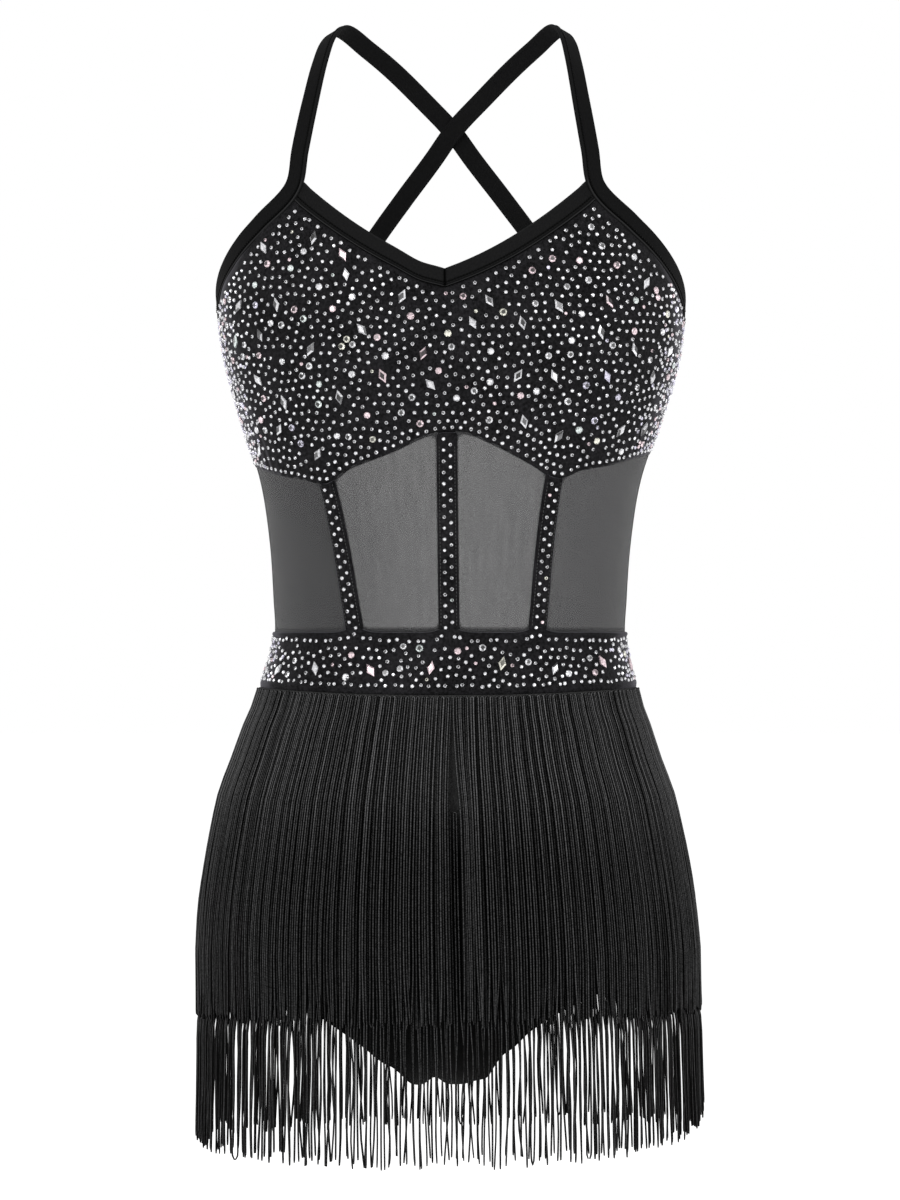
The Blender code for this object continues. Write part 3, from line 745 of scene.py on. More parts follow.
def bodice():
    """The bust panel hollows between the cups and gathers a little above the seam under them; the back is plain."""
    angle, height, _, v = panel(side_ends(), beyond(underbust, GAP), beyond(bodice_top, TUCK), 168, 44)
    gathers = 0.00045 * noise(3, angle * 38, height * 20) * ease((0.32 - v) / 0.32)
    drag = 0.00040 * noise(5, angle * 16 + height * 60, height * 90)
    seam = -0.0005 * ease((0.03 - v) / 0.03) - 0.0006 * ease((height - bodice_top(angle) + 0.0008) / 0.0012)
    grid = form(angle, height, bust_relief(angle, height) + gathers + drag + seam)
    cloth_panel("bodice_front", grid, 0.0013, VELVET, "velvet", ["waistband_front_cloth"])
    angle, height, _, v = panel(side_ends(math.pi), beyond(back_foot, GAP), beyond(back_seam, TUCK), 120, 24)
    drag = 0.00050 * noise(8, angle * 14 + height * 40, height * 110) * np.sin(math.pi * v)
    drag = drag + 0.0003 * noise(9, angle * 40, height * 12) * ease((0.4 - v) / 0.4)
    tucked = -0.0006 * ease((height - back_seam(angle) + 0.0008) / 0.0012)
    grid = form(angle, height, drag - 0.0004 * ease((0.04 - v) / 0.04) + tucked)
    cloth_panel("bodice_back", grid, 0.0013, VELVET, "velvet")


def mesh_cover(u, v, wide, tall):
    """How much denser the mesh looks at its seams, where it is two layers, with rounded corners."""
    beside, above = np.minimum(u, 1 - u) * wide + 0.0010, np.minimum(v, (1 - v) + 0.0012 / tall) * tall
    corner = 0.0065
    edge = corner - np.hypot(np.maximum(corner - beside, 0), np.maximum(corner - above, 0))
    return 0.55 * ease((0.0028 - edge) / 0.0018)


def mesh_panels():
    """Sheer panels between the strips, drawn slightly hollow across, with faint drag lines from their corners.
    Each is as dense at its two sides and its middle as its last three numbers say."""
    beside = STRIP_WIDTH / 2 - 0.0008
    (right, left), (back_right, back_left) = side_ends(), side_ends(math.pi)
    spans = {
        "mesh_side_right": (right, strip_side(-1, -1, beside), (0.53, 0.665, 0.715)),
        "mesh_centre_right": (strip_side(-1, 1, beside), strip_side(0, -1, beside), (0.45, 0.40, 0.38)),
        "mesh_centre_left": (strip_side(0, 1, beside), strip_side(1, -1, beside), (0.385, 0.385, 0.405)),
        "mesh_side_left": (strip_side(1, 1, beside), left, (0.53, 0.595, 0.53)),
        "mesh_back": (back_right, back_left, (0.46, 0.39, 0.46)),
    }
    for number, (name, (*ends, dense)) in enumerate(spans.items()):
        columns, foot, head = 64, beyond(band_top, -0.001), beyond(underbust, 0.001)
        if name == "mesh_back":
            columns, foot, head = 200, level(STRIP_FOOT + 0.0002), beyond(back_foot, 0.001)
        angle, height, u, v = panel(ends, foot, head, columns, 64)
        inset = np.sin(math.pi * u) * np.sin(math.pi * v)
        drawn = -0.0006 * inset + 0.00035 * inset * noise(20 + number, angle * 12 - height * 50, height * 30)
        grid = form(angle, height, -0.0005 + drawn)
        wide, tall, _ = cloth_size(grid)
        cover = np.interp(u, (0.0, 0.5, 1.0), dense) + mesh_cover(u, v, wide, tall)
        cloth_panel(name, grid, 0.0004, MESH, "power_mesh", cover=cover)


def strips():
    """The covered boning: velvet proud of the mesh, rounded down at both edges by a fold."""
    for name, strip in (("strip_right", -1), ("strip_middle", 0), ("strip_left", 1)):
        ends = strip_side(strip, -1, STRIP_WIDTH / 2), strip_side(strip, 1, STRIP_WIDTH / 2)
        angle, height, u, _ = panel(ends, beyond(band_top, GAP), beyond(underbust, -GAP), 28, 80)
        across = np.abs(2 * u - 1)
        fold = -0.0006 * ease((across - 0.86) / 0.14) - 0.00035 * bell((across - 0.72) / 0.05)
        dome = 0.0004 * (1 - across**2)
        wavy = 0.00012 * noise(31 + strip, height * 300, angle * 30)
        grid = form(angle, height, PROUD + 0.0003 + dome + fold + wavy)
        cloth_panel(name, grid, 0.0015, VELVET, "velvet")


def waistband():
    """A firm band with a rolled seam along its upper edge and a turned lower edge."""
    back_top = level(STRIP_FOOT + 0.0012)
    for name, middle, top, seed in (("front", 0.0, band_top, 40), ("back", math.pi, back_top, 41)):
        angle, height, _, v = panel(side_ends(middle), band_foot, beyond(top, -GAP), 150, 30)
        roll = 0.0005 * bell((v - 0.965) / 0.022) - 0.0004 * bell((v - 0.905) / 0.022)
        foot = -0.0005 * ease((0.06 - v) / 0.06) + 0.0003 * bell((v - 0.10) / 0.05)
        wavy = 0.00035 * noise(seed, angle * 22, height * 60)
        grid = form(angle, height, PROUD + roll + foot + wavy)
        cloth_panel(f"waistband_{name}", grid, 0.0015, VELVET, "velvet")


def brief_grid(leg, middle, rows=60, fine=5):
    """(points, angles, heights) of half of the brief. Each column falls from the waistband down the form, and
    below the turn the sections close in as a quarter circle, the half width more slowly than the depth. The +X leg
    is pulled up a little."""
    crotch = math.radians(leg[0, 0])
    keys = np.concatenate([[0.0, crotch / 2], np.radians(leg[:, 0])])
    keys[-1] = side_end(1)(BAND_FOOT)
    half = np.interp(np.linspace(0, len(keys) - 1, (len(keys) - 1) * fine + 1), np.arange(len(keys)), keys)
    angle = np.concatenate([-half[:0:-1], half])
    v = np.linspace(0, 1, rows + 1)[:, None]
    depth = form_sizes(TURN)[1 if middle == 0 else 2]
    across = angle if middle == 0 else -angle
    pulled = 0.0088 * bell((across - 0.42) / 0.28) * ease((across - 0.05) / 0.12)
    reach = np.minimum((TURN - seam_height(leg, angle) - pulled) / (TURN - CROTCH), 1.0)
    turned = np.minimum(np.arcsin(reach), math.acos(0.0003 / depth))
    top = band_foot(angle + middle) - 0.0006
    straight = top - TURN
    down = (1 - v) * (straight + depth * turned)
    below = np.clip((down - straight) / depth, 0, math.pi / 2)
    height = np.where(down <= straight, top - down, TURN - (TURN - CROTCH) * np.sin(below))
    half_width, front, back = form_sizes(np.maximum(height, TURN))
    open_share = np.cos(below)
    narrowed = CROTCH_HALF_WIDTH + (half_width - CROTCH_HALF_WIDTH) * open_share
    half_width = np.where(down <= straight, half_width, narrowed)
    grid = ring(angle + middle, height, half_width, front * open_share, back * open_share)
    return grid, np.broadcast_to(angle, height.shape), height


def brief():
    """The brief hugs the hips, with faint folds running in from the legs and a turned hem along each leg."""
    for half, leg, middle, seed in (("front", LEG_FRONT, 0.0, 50), ("back", LEG_BACK, math.pi, 53)):
        grid, angle, height = brief_grid(leg, middle)
        normal, away = grid_normals(grid), lengths(grid)
        hem = 0.00030 * ease((0.0085 - away) / 0.0012) * (np.abs(angle) > math.radians(leg[0, 0]))
        folds = 0.0006 * noise(seed, angle * 9 + height * 60, height * 40)
        folds = folds * ease((-0.42 - height) / 0.05) * ease(away / 0.02)
        grid = grid + normal * (hem + folds)[..., None]
        # The gusset draws up a little between two soft lobes.
        grid[..., 2] += 0.0042 * bell((grid[..., 0] + 0.0076) / 0.0045) * ease((-0.555 - height) / 0.022)
        cloth_panel(f"brief_{half}", grid, 0.0011, JERSEY, "jersey", [f"waistband_{half}_cloth"])


# ---------------------------------------------------------------- bindings, straps and stitches
def wrapped_edge(place, bead=0.0005, wall=BINDING_WALL):
    """A strip of cloth folded over an edge, as (share of the width, depth): up the outer face from a corded
    seam, over a stitched groove, round the fold and down the inner face. Also each row's painted light and shade:
    painted shade on the cord's lower side, in a line just above the cord and in the groove, and a painted highlight
    on the cord's upper side and over the fold."""
    outer = np.concatenate([np.linspace(0.075, 0.22, 9), np.linspace(0.30, 0.93, 8)])
    turn = np.linspace(0, math.pi, 9)
    cord = np.linspace(-0.9, 1.0, 7)
    inner = np.linspace(0.93, -0.02, 12)
    groove = bell((outer - GROOVE) / 0.030)
    beaded = -bead * np.cos(cord * 0.5 * math.pi) ** 0.7 + 0.0001
    share = np.concatenate([-0.050 + 0.095 * (cord + 0.9) / 1.9, outer, 0.94 + 0.09 * np.sin(turn), inner])
    depth = np.concatenate([beaded, 0.00018 * groove, 0.5 * wall * (1 - np.cos(turn)), 0 * inner + wall])
    # Painted light and shade for each row, carried by 'seam': below 0 painted shade, above 0 a painted highlight.
    corded = np.array((-1.0, -1.0, -1.0, -0.4, 1.2, 1.3, 0.2))
    face = -0.7 * bell((outer - 0.100) / 0.022) - 0.8 * groove
    seam = np.concatenate([corded, face, 0.35 * bell((turn - 0.9) / 0.5), 0 * inner])
    return place(share[:, None], depth[:, None]), seam[:, None]


def wrap_piece(name, grid, seam):
    """An open strip of cloth that is wrapped round an edge, or round an elastic with its two edges meeting."""
    rows, columns = grid.shape[:2]
    points, faces = grid.reshape(-1, 3), [grid_faces(rows, columns)]
    seam = np.broadcast_to(seam, (rows, columns)).ravel()
    piece = new_piece(name + "_cloth", points, faces, BINDING, "binding", [name], tube_uv(grid), seam=seam)
    wide, tall, area = cloth_size(grid)


def stitches(line, normal, pitch, length, thick):
    """(points, faces) of a row of short stitches along a line of points: each is a flattened bead, thickest in
    its middle."""
    along = lengths(line)
    at = np.arange(pitch / 2, along[-1], pitch)
    centre, up, ahead, back = (
        points_at(at + step, along, values)
        for step, values in ((0.0, line), (0.0, normal), (0.0004, line), (-0.0004, line))
    )
    way = unit(ahead - back)
    side = unit(np.cross(up, way))
    rings, swell = np.array((-1.0, -0.6, 0.6, 1.0)), np.array((0.25, 1.0, 1.0, 0.25))[:, None] * thick / 2
    sides = 5
    turn = turns(sides)
    shape = np.broadcast_arrays(rings[:, None] * length / 2, np.cos(turn) * swell, np.sin(turn) * swell)
    points = carried(np.stack(shape, -1).reshape(-1, 3), centre, way, side, np.cross(way, side))
    count = len(rings) * sides
    caps = np.stack([np.arange(sides)[::-1], np.arange(sides) + count - sides])
    return points.reshape(-1, 3), copied([grid_faces(len(rings), sides, wrap=True), caps], len(at), count)


def join_rows(rows):
    """Several (points, faces) made one."""
    points, faces, start = [], {}, 0
    for some, kinds in rows:
        for kind in kinds:
            faces.setdefault(kind.shape[1], []).append(kind + start)
        points.append(some)
        start += len(some)
    return np.concatenate(points), [np.concatenate(kinds) for kinds in faces.values()]


def neck_place(side, join):
    """Where the points of half the neck binding lie, from the mitre at the middle of the front to the strap's
    edge. It rolls in a little at the mitre and under the strap. Also the painted shade down the mitre,
    for each column."""
    steps = np.concatenate([(0.0, 0.003, 0.006, 0.010, 0.014), np.linspace(0.02, 1, 86)])
    inner = 0.00001 / form_sizes(NECK_DROP)[1]

    def up(angle, share):
        """The height at a share of the binding's width, from its seam to the neckline."""
        return neck_seam(angle) + (neck_edge(angle) - neck_seam(angle)) * share

    def place(share, depth):
        """The outer end of each row is where its height meets the armhole's edge, found over and over."""
        outer = np.full(share.shape, join)
        for _ in range(10):
            outer = np.interp(up(outer, np.clip(share, 0, 1)), ARMHOLE_HEIGHTS, ARMHOLE_ANGLES) + 0.030
        angle = side * (inner + (outer - inner) * (steps if side > 0 else steps[::-1])[None, :])
        away = np.abs(angle)
        rolled = 0.0006 * bell((away - inner) / 0.006) + 0.0009 * ease((away - outer + 0.050) / 0.045)
        return form(angle, up(angle, share), PROUD - depth - rolled)

    # Painted shade down the mitre.
    return place, -1.2 * bell(steps / 0.007)[::side]


def back_place(share, depth):
    """Where the points of the back binding lie."""
    ends = [end(-0.156) for end in side_ends(math.pi)]
    angle = np.linspace(*ends, 160)[None, :]
    return form(angle, back_seam(angle) + BINDING_WIDTH * share, PROUD - depth)


def groove_stitches(place):
    """The stitches in a binding's groove."""
    line = place(np.array([[GROOVE]]), np.array([[-0.00002]]))[0]
    return stitches(line, form_normal(form_angle(line), line[:, 2]), *BINDING_STITCH)


def strap_profile():
    """(widths, depths) round a strap: up its outer face, over one edge, down its inner face, and over the other
    edge to where its two edges meet."""
    half, thick = STRAP_WIDTH / 2, BINDING_WALL / 2
    turn = np.linspace(-math.pi / 2, math.pi / 2, 9)
    flat, round_it, sunk = half - thick, thick * np.cos(turn), thick - thick * np.sin(turn)
    face = np.concatenate([np.linspace(-flat, -(half - 0.0030), 12), np.linspace(-(half - 0.0034), flat, 9)])
    width = np.concatenate([-flat - round_it[4:], face, flat + round_it[::-1], face[::-1], -flat - round_it[:5]])
    depth = np.concatenate([sunk[4:], 0 * face, sunk[::-1], 0 * face + 2 * thick, sunk[:5]])
    return width, depth


def strap(name, side):
    """A strap with a painted highlight line and a painted shade line where it is sewn on as the armhole binding,
    and a stitched groove darkened with painted shade, each a soft bump of the way from the edge near the neck.
    Painted shade also darkens its front. Returns the stitches."""
    width, depth = strap_profile()
    from_edge, outside = width + STRAP_WIDTH / 2, depth < BINDING_WALL / 2
    groove, lit, sunk = (
        tall * bell((from_edge - inset) / wide) * outside
        for tall, inset, wide in ((1.0, STRAP_GROOVE, 0.0004), (1.3, 0.0010, 0.00030), (0.9, 0.0018, 0.00034))
    )
    ends = np.array([strap_ends(w) for w in width])
    share = np.linspace(0, 1, 300)
    distance = ends[:, :1] * (1 - share) + ends[:, 1:] * share
    grid = strap_point(side, distance, width[:, None], (depth + 0.00018 * groove)[:, None])
    # Painted light and shade: lit is a painted highlight line; sunk, the front and the groove get painted shade.
    sewn = ease((-0.086 - grid[..., 2]) / 0.008) * (grid[..., 1] < 0.02)
    front = 0.28 * ease((-0.02 - grid[..., 1]) / 0.03) * (lit < 0.1)[:, None]
    seam = lit[:, None] * sewn - sunk[:, None] * sewn - front - 0.3 * groove[:, None]
    if side > 0:
        grid, seam = grid[::-1], seam[::-1]
    wrap_piece(f"strap_{name}", grid, seam)
    along = np.linspace(ends[:, 0].max() + 0.001, ends[:, 1].min() - 0.001, 900)
    line = strap_point(side, along, STRAP_GROOVE - STRAP_WIDTH / 2, -0.00002)
    return stitches(line, strap_frame(along)[3] * (-side, 1, 1), *BINDING_STITCH)


def hem_stitches(leg, middle, away):
    """Rows of stitches round both leg hems of half of the brief, at a way up from the hem."""
    grid, angle, _ = brief_grid(leg, middle)
    up, normal = lengths(grid), grid_normals(grid)
    raised = grid + normal * 0.0003
    row = np.stack([points_at(away, up[:, c], raised[:, c]) for c in range(grid.shape[1])])
    past = math.radians(leg[0, 0] + 1)
    return [stitches(row[keep], normal[6][keep], *HEM_STITCH) for keep in (angle[0] > past, angle[0] < -past)]


def bindings():
    """Folded bindings on the neck and back, and the straps, which start as the armhole bindings. A fine row of
    stitches runs along each, along both edges of each boning strip, and twice round each leg hem."""
    join = float(np.interp(-0.1, ARMHOLE_HEIGHTS, ARMHOLE_ANGLES))
    rows = []
    for name, side in SIDES:
        place, mitre = neck_place(side, join)
        grid, seam = wrapped_edge(place)
        # The mitre's painted shade is added to the binding's painted light and shade.
        wrap_piece(f"neck_binding_{name}", grid, seam + mitre)
        rows.append(groove_stitches(place))
    grid, seam = wrapped_edge(back_place)
    wrap_piece("back_binding", grid, seam)
    rows.append(groove_stitches(back_place))
    rows.extend([strap(name, side) for name, side in SIDES])
    for leg, middle in ((LEG_FRONT, 0.0), (LEG_BACK, math.pi)):
        for away in (0.0052, 0.0076):
            rows.extend(hem_stitches(leg, middle, away))
    light = []
    for strip in STRIPS:
        head, foot = -0.2330 if strip == 0 else -0.2520, -0.3290
        for edge in (-1, 1):
            height = np.linspace(foot, head, 200)
            angle = strip_side(strip, edge, STRIP_SEAM)(height)
            line = form(angle, height, PROUD + 0.00042)
            light.append(stitches(line, form_normal(angle, height), *STRIP_STITCH))
    new_piece("seam_stitches", *join_rows(rows), THREAD, "thread")
    new_piece("strip_stitches", *join_rows(light), GLOSS_THREAD, "thread")


# ---------------------------------------------------------------- stones
def cut_stone(sides, table, crown, girdle):
    """A round flat-backed stone of radius 1: a table, a crown of kite facets, a girdle and a base."""
    kite_ring = 0.84, 0.55 * crown + 0.45 * girdle, 0.5  # turned by half a side
    rings = []
    for radius, height, shift in ((1.0, -0.25, 0.0), (1.0, girdle, 0.0), kite_ring, (table, crown, 0.0)):
        angle = turns(sides) + shift * 2 * math.pi / sides
        rings.append(np.stack([radius * np.cos(angle), radius * np.sin(angle), 0 * angle + height], -1))
    # The corners of each ring, and the next corner round on it.
    i = np.arange(sides) + np.arange(4)[:, None] * sides
    j = np.roll(i, -1, 1)
    kites = ((i[1], j[1], i[2]), (i[2], j[1], j[3]), (i[2], j[3], i[3]), (j[1], j[2], j[3]))
    crown_faces = np.concatenate([np.stack(kite, -1) for kite in kites])
    return np.concatenate(rings), [np.stack([i[0], j[0], j[1], i[1]], -1), crown_faces, i[3][None], i[0][::-1][None]]


def cut_rhombus():
    """A flat-backed lozenge of half length 1 and half width a half: a raised table with four bevels."""
    outline = np.array(((0.0, 1.0), (-0.54, 0.0), (0.0, -1.0), (0.54, 0.0)))
    rings = ((1.0, -0.12), (1.0, 0.10), (0.58, 0.30))
    points = np.concatenate([np.column_stack([outline * wide, np.full(4, height)]) for wide, height in rings])
    walls = grid_faces(len(rings), 4, wrap=True)
    return points, [np.concatenate([walls, np.arange(8, 12)[None], np.arange(4)[::-1][None]])]


def facets(shape):
    """A stone whose facets don't share points: (points, faces, each point's facet, the facets' middles)."""
    points, faces = shape
    kinds, owner, start, facet = [], [], 0, 0
    for kind in faces:
        kinds.append(np.arange(kind.size).reshape(kind.shape) + start)
        owner.append(np.repeat(np.arange(len(kind)) + facet, kind.shape[1]))
        start, facet = start + kind.size, facet + len(kind)
    points, owner = points[np.concatenate([kind.ravel() for kind in faces])], np.concatenate(owner)
    middles = np.stack([np.bincount(owner, points[:, k]) / np.bincount(owner) for k in range(3)], -1)
    return points, kinds, owner, middles


def set_stones(name, shape, centre, normal, size, spin, tint, seed):
    """Copies of one stone, each turned about its normal by its spin, and each facet with a painted reflection of its
    own, bright or dark.
    """
    draw = np.random.default_rng(seed)
    points, kinds, owner, middles = facets(shape)
    right = unit(np.cross((0.0, 0.0, 1.0), normal))
    above = np.cross(normal, right)
    cos, sin = np.cos(spin)[:, None], np.sin(spin)[:, None]
    x, y = right * cos + above * sin, above * cos - right * sin
    placed = carried(points * size[:, None, None], centre, x, y, normal)
    count = len(centre), len(middles)
    # Painted reflection: the table is dark on over half of the stones, as are some other facets; the rest bright.
    is_table = np.arange(count[1]) == middles[:, 2].argmax()
    dark_reflection = draw.random(count) < np.where(is_table, 0.58, 0.18)
    glow = np.where(dark_reflection, draw.uniform(0.01, 0.16, count), draw.uniform(0.70, 0.98, count))
    # Painted shade: facets that tip upwards are painted darker than those that tip down.
    lean = middles[:, 0] * sin + middles[:, 1] * cos
    glow = glow * (1 - 0.40 * np.clip(lean, 0, 1))
    colour = tint[:, None] * glow[:, owner][..., None]
    colour = np.concatenate([colour, np.ones(colour.shape[:2] + (1,))], -1).reshape(-1, 4)
    faces = copied(kinds, len(centre), len(points))
    new_piece(name, placed.reshape(-1, 3), faces, STONE, "rhinestone", flat_shaded=True, glint=colour)


def along_seam(seam, offset, pitch, seed, jitter=0.12):
    """(angles, heights) of a row of stones a little way from a seam, at an even pitch with a slight stagger."""
    draw = np.random.default_rng(seed)
    angle = np.linspace(-SIDE + 0.03, SIDE - 0.03, 1500)
    slope = np.gradient(seam(angle), lengths(form(angle, seam(angle))) + 1e-9)
    height = seam(angle) + offset * np.hypot(1, np.clip(slope, -2, 2))
    along = lengths(form(angle, height))
    at = np.arange(pitch / 2, along[-1], pitch)
    at = at + draw.uniform(-jitter, jitter, len(at)) * pitch
    raised = draw.uniform(-jitter, jitter, len(at)) * pitch * 0.5
    return np.interp(at, along, angle), np.interp(at, along, height) + raised


def way_round(height):
    """The way round the front at a height, from its middle: (angle to length, length to angle)."""
    keys = np.linspace(-SIDE, SIDE, 400)
    along = lengths(form(keys, np.full(400, height)))
    along = along - along.mean()
    return lambda angle: np.interp(angle, keys, along), lambda length: np.interp(length, along, keys)


def honeycomb(wide, low, high, pitch, jitter, seed):
    """(lengths, heights) of a staggered lattice over a strip, each place moved a little at random."""
    draw = np.random.default_rng(seed)
    rows = np.arange(low, high, pitch * 0.87)
    columns = np.arange(-wide / 2, wide / 2, pitch)
    x = columns[None, :] + (np.arange(len(rows))[:, None] % 2) * pitch / 2
    z = np.broadcast_to(rows[:, None], x.shape)
    shift = draw.uniform(-jitter, jitter, (2, *x.shape)) * pitch
    return np.stack([(x + shift[0]).ravel(), (z + shift[1]).ravel()])


def spread(places, pitch, others, gaps, rounds=16, share=0.28):
    """Places pushed apart step by step, wherever two are nearer than the pitch, or one is nearer than its gap to
    another kind of stone. Each push is along the line between them, by a share of what is missing."""
    at = places.T
    others = [other.T for other in others]
    for _ in range(rounds):
        push = np.zeros_like(at)
        for near, gap in zip([at, *others], [pitch, *gaps]):
            away = at[:, None] - near[None]
            far = np.linalg.norm(away, axis=2) + 1e-9
            push += (away * (np.clip(gap - far, 0, None) / far)[..., None]).sum(1)
        at = at + share * push
    return at.T


def clear_of(places, others, gaps):
    """Which places keep their gap from every other place."""
    keep = np.ones(places.shape[1], bool)
    for other, gap in zip(others, gaps):
        away = places[:, :, None] - other[:, None]
        keep &= (np.hypot(*away) > gap).all(1)
    return keep


def tints(count, seed, coloured, picks=(1, 1, 1, 1, 2, 3, 4)):
    """Silver stones, and a share of them pink, lilac, straw or green, as picked."""
    draw = np.random.default_rng(seed)
    silver, pink, lilac = (0.94, 0.94, 0.96), (1.0, 0.80, 0.84), (0.87, 0.84, 1.0)
    palette = np.array((silver, pink, lilac, (0.96, 0.95, 0.82), (0.87, 0.95, 0.92)))
    pick = np.where(draw.random(count) < coloured, draw.choice(picks, count), 0)
    return palette[pick] * draw.uniform(0.85, 1.0, (count, 1))


def place_stones(name, shape, places, to_angle, out, size, coloured, seed, picks, turn):
    """Stones on the worn form at lengths round it and heights on it, tilted a little and turned at random."""
    draw = np.random.default_rng(seed)
    x, z = places
    angle = to_angle(x)
    normal = form_normal(angle, z)
    tilt = draw.normal(0, 0.05, normal.shape)
    spin = draw.uniform(*turn, len(x))
    radius = size / 2 * draw.uniform(0.92, 1.06, len(x))
    tint = tints(len(x), seed + 1, coloured, *picks)
    set_stones(name, shape, form(angle, z, out(angle, z)), unit(normal + tilt), radius, spin, tint, seed + 2)


def stone_field(
    name, seam_rows, ways, inside, lattices, margins, gaps, pitch, crowding, sizes, coloured, seed, out, reach=1.0,
):
    """Stones between two seams: rows along the seams, then the lozenges and the large ones well apart, then the
    small ones spread evenly between them all. Smaller lilac stones crowd in towards the side seams. The lattices,
    each what honeycomb takes, are for lozenges, large, small and side stones. So are the margins from the seams,
    with one more for small ones after they are spread. The sizes and shares of coloured stones are for small,
    large, lozenges and side ones. None is further round than the reach."""
    to_length, to_angle = ways
    row = np.concatenate([(to_length(angle), height) for angle, height in seam_rows], 1)
    lozenge, large, small, side = (honeycomb(*lattice) for lattice in lattices)
    lozenge = lozenge[:, inside(lozenge, margins[0])]
    large = large[:, inside(large, margins[1]) & clear_of(large, [lozenge, row], gaps["large"])]
    fixed = [lozenge, large, row]
    small = small[:, inside(small, margins[2]) & clear_of(small, fixed, gaps["small"])]
    small = spread(small, pitch, fixed, gaps["spread"])
    small = np.concatenate([small[:, inside(small, margins[3])], row], 1)
    chance = ease((np.abs(to_angle(side[0])) - crowding) / 0.30)
    side_seed = lattices[3][-1] + 1
    crowd = np.random.default_rng(side_seed).random(side.shape[1]) < chance
    side = side[:, inside(side, margins[4]) & crowd & clear_of(side, [lozenge, large, small], gaps["side"])]
    round_stone, any_way = cut_stone(8, 0.52, 0.62, 0.12), (0, math.pi)
    kinds = {
        "small": (small, round_stone, (), any_way),
        "large": (large, cut_stone(12, 0.55, 0.50, 0.12), (), any_way),
        "lozenge": (lozenge, cut_rhombus(), (), (-0.75, 0.75)),
        "side_small": (side, round_stone, [(2, 2, 2, 0, 0, 1)], any_way),
    }
    for (label, (places, shape, picks, turn)), size, share in zip(kinds.items(), sizes, coloured):
        places = places[:, np.abs(places[0]) < reach]
        start = seed + len(label)
        place_stones(f"{name}_{label}", shape, places, to_angle, out, size, share, start, picks, turn)


def bust_stones():
    """Stones between the seam under the bust and the bodice's upper edge, on the hollow and cups of the panel."""
    ways = way_round(-0.19)

    def inside(places, margin):
        """Which places are a margin inside both seams, and short of the side seams."""
        x, z = places
        angle = ways[1](x)
        in_height = (z > underbust(angle) + margin) & (z < bodice_top(angle) - margin)
        return (np.abs(angle) < SIDE - 0.02) & in_height

    stone_field(
        "bust_stones",
        [along_seam(bodice_top, -0.0036, 0.0064, 61, 0.30), along_seam(underbust, 0.0030, 0.0048, 62)],
        ways, inside,
        [
            (0.30, -0.255, -0.095, 0.0300, 0.30, 63), (0.30, -0.255, -0.095, 0.0162, 0.42, 64),
            (0.31, -0.256, -0.090, 0.00520, 0.45, 65), (0.34, -0.252, -0.130, 0.0036, 0.45, 66),
        ],
        margins=(0.007, 0.006, 0.0052, 0.0050, 0.0026),
        gaps={
            "large": [0.0085, 0.0031], "small": [0.0050, 0.0038, 0.0030],
            "spread": [0.0058, 0.0048, 0.0044], "side": [0.0044, 0.0032, 0.0022],
        },
        pitch=0.0051, crowding=1.02, sizes=(0.00212, 0.0039, 0.0080, 0.0023), coloured=(0.03, 0.42, 0.30, 0.9),
        seed=70, out=lambda angle, height: bust_relief(angle, height) + 0.00015,
    )


def waist_stones():
    """Stones between the waistband's two edges."""
    ways = way_round(-0.350)

    def inside(places, margin):
        """Which places are a margin above the lower edge."""
        return places[1] > band_foot(ways[1](places[0])) + margin

    stone_field(
        "waist_stones",
        [along_seam(band_top, -0.0042, 0.0049, 81, 0.26), along_seam(band_foot, 0.0046, 0.0047, 82, 0.26)],
        ways, inside,
        [
            (0.34, -0.3520, -0.3460, 0.0330, 0.12, 83), (0.34, -0.3575, -0.3400, 0.0150, 0.40, 84),
            (0.34, -0.3590, -0.3390, 0.0047, 0.45, 85), (0.34, -0.3600, -0.3365, 0.0036, 0.45, 86),
        ],
        margins=(-math.inf, 0.0070, 0.0060, -math.inf, 0.0040),
        gaps={
            "large": [0.0080, 0.0031], "small": [0.0048, 0.0036, 0.0030],
            "spread": [0.0056, 0.0044, 0.0040], "side": [0.0042, 0.0032, 0.0022],
        },
        pitch=0.0046, crowding=1.05, sizes=(0.00212, 0.0038, 0.0078, 0.0023), coloured=(0.03, 0.40, 0.30, 0.9),
        seed=90, out=lambda angle, height: PROUD + 0.0002, reach=ways[0](SIDE) - 0.003,
    )


def strip_stones():
    """Two columns on each strip, each set half a pitch from the other."""
    angles, heights = [], []
    for strip in STRIPS:
        top = float(underbust(strip_angle(strip, STRIP_HEAD))) - 0.0030
        for edge in (-1, 1):
            heights.append(np.arange(top - 0.0030 * (edge > 0), -0.3310, -0.0059))
            angles.append(strip_side(strip, edge, 0.0016)(heights[-1]))
    angle, height = np.concatenate(angles), np.concatenate(heights)
    draw, count = np.random.default_rng(99), len(angle)
    normal = unit(form_normal(angle, height) + draw.normal(0, 0.05, (count, 3)))
    set_stones(
        "strip_stones", cut_stone(8, 0.52, 0.62, 0.12), form(angle, height, PROUD + 0.0007), normal,
        0.00102 * draw.uniform(0.92, 1.06, count), draw.uniform(0, math.pi, count), tints(count, 98, 0.02), 97,
    )


# ---------------------------------------------------------------- fringe
def strand_tubes(centre, out, radius, sides=6):
    """(points, faces, facing) of tubes round strands' middle lines: each ring is a circle of the radius there,
    across the way along. Facing is 1 on the side of a strand that looks outwards and -1 on its inner side."""
    along = unit(np.gradient(centre, axis=1))
    side = unit(np.cross(out, along))
    out = np.cross(along, side)
    turn = turns(sides) + math.pi / 2
    across = np.cos(turn)[:, None] * side[:, :, None] + np.sin(turn)[:, None] * out[:, :, None]
    points = centre[:, :, None] + radius[..., None, None] * across
    strands, rings = centre.shape[:2]
    count = rings * sides
    caps = np.stack([np.arange(sides), np.arange(sides)[::-1] + count - sides])
    faces = copied([grid_faces(rings, sides, wrap=True)[:, ::-1], caps], strands, count)
    return points.reshape(-1, 3), faces, np.broadcast_to(np.sin(turn), (strands, rings, sides))


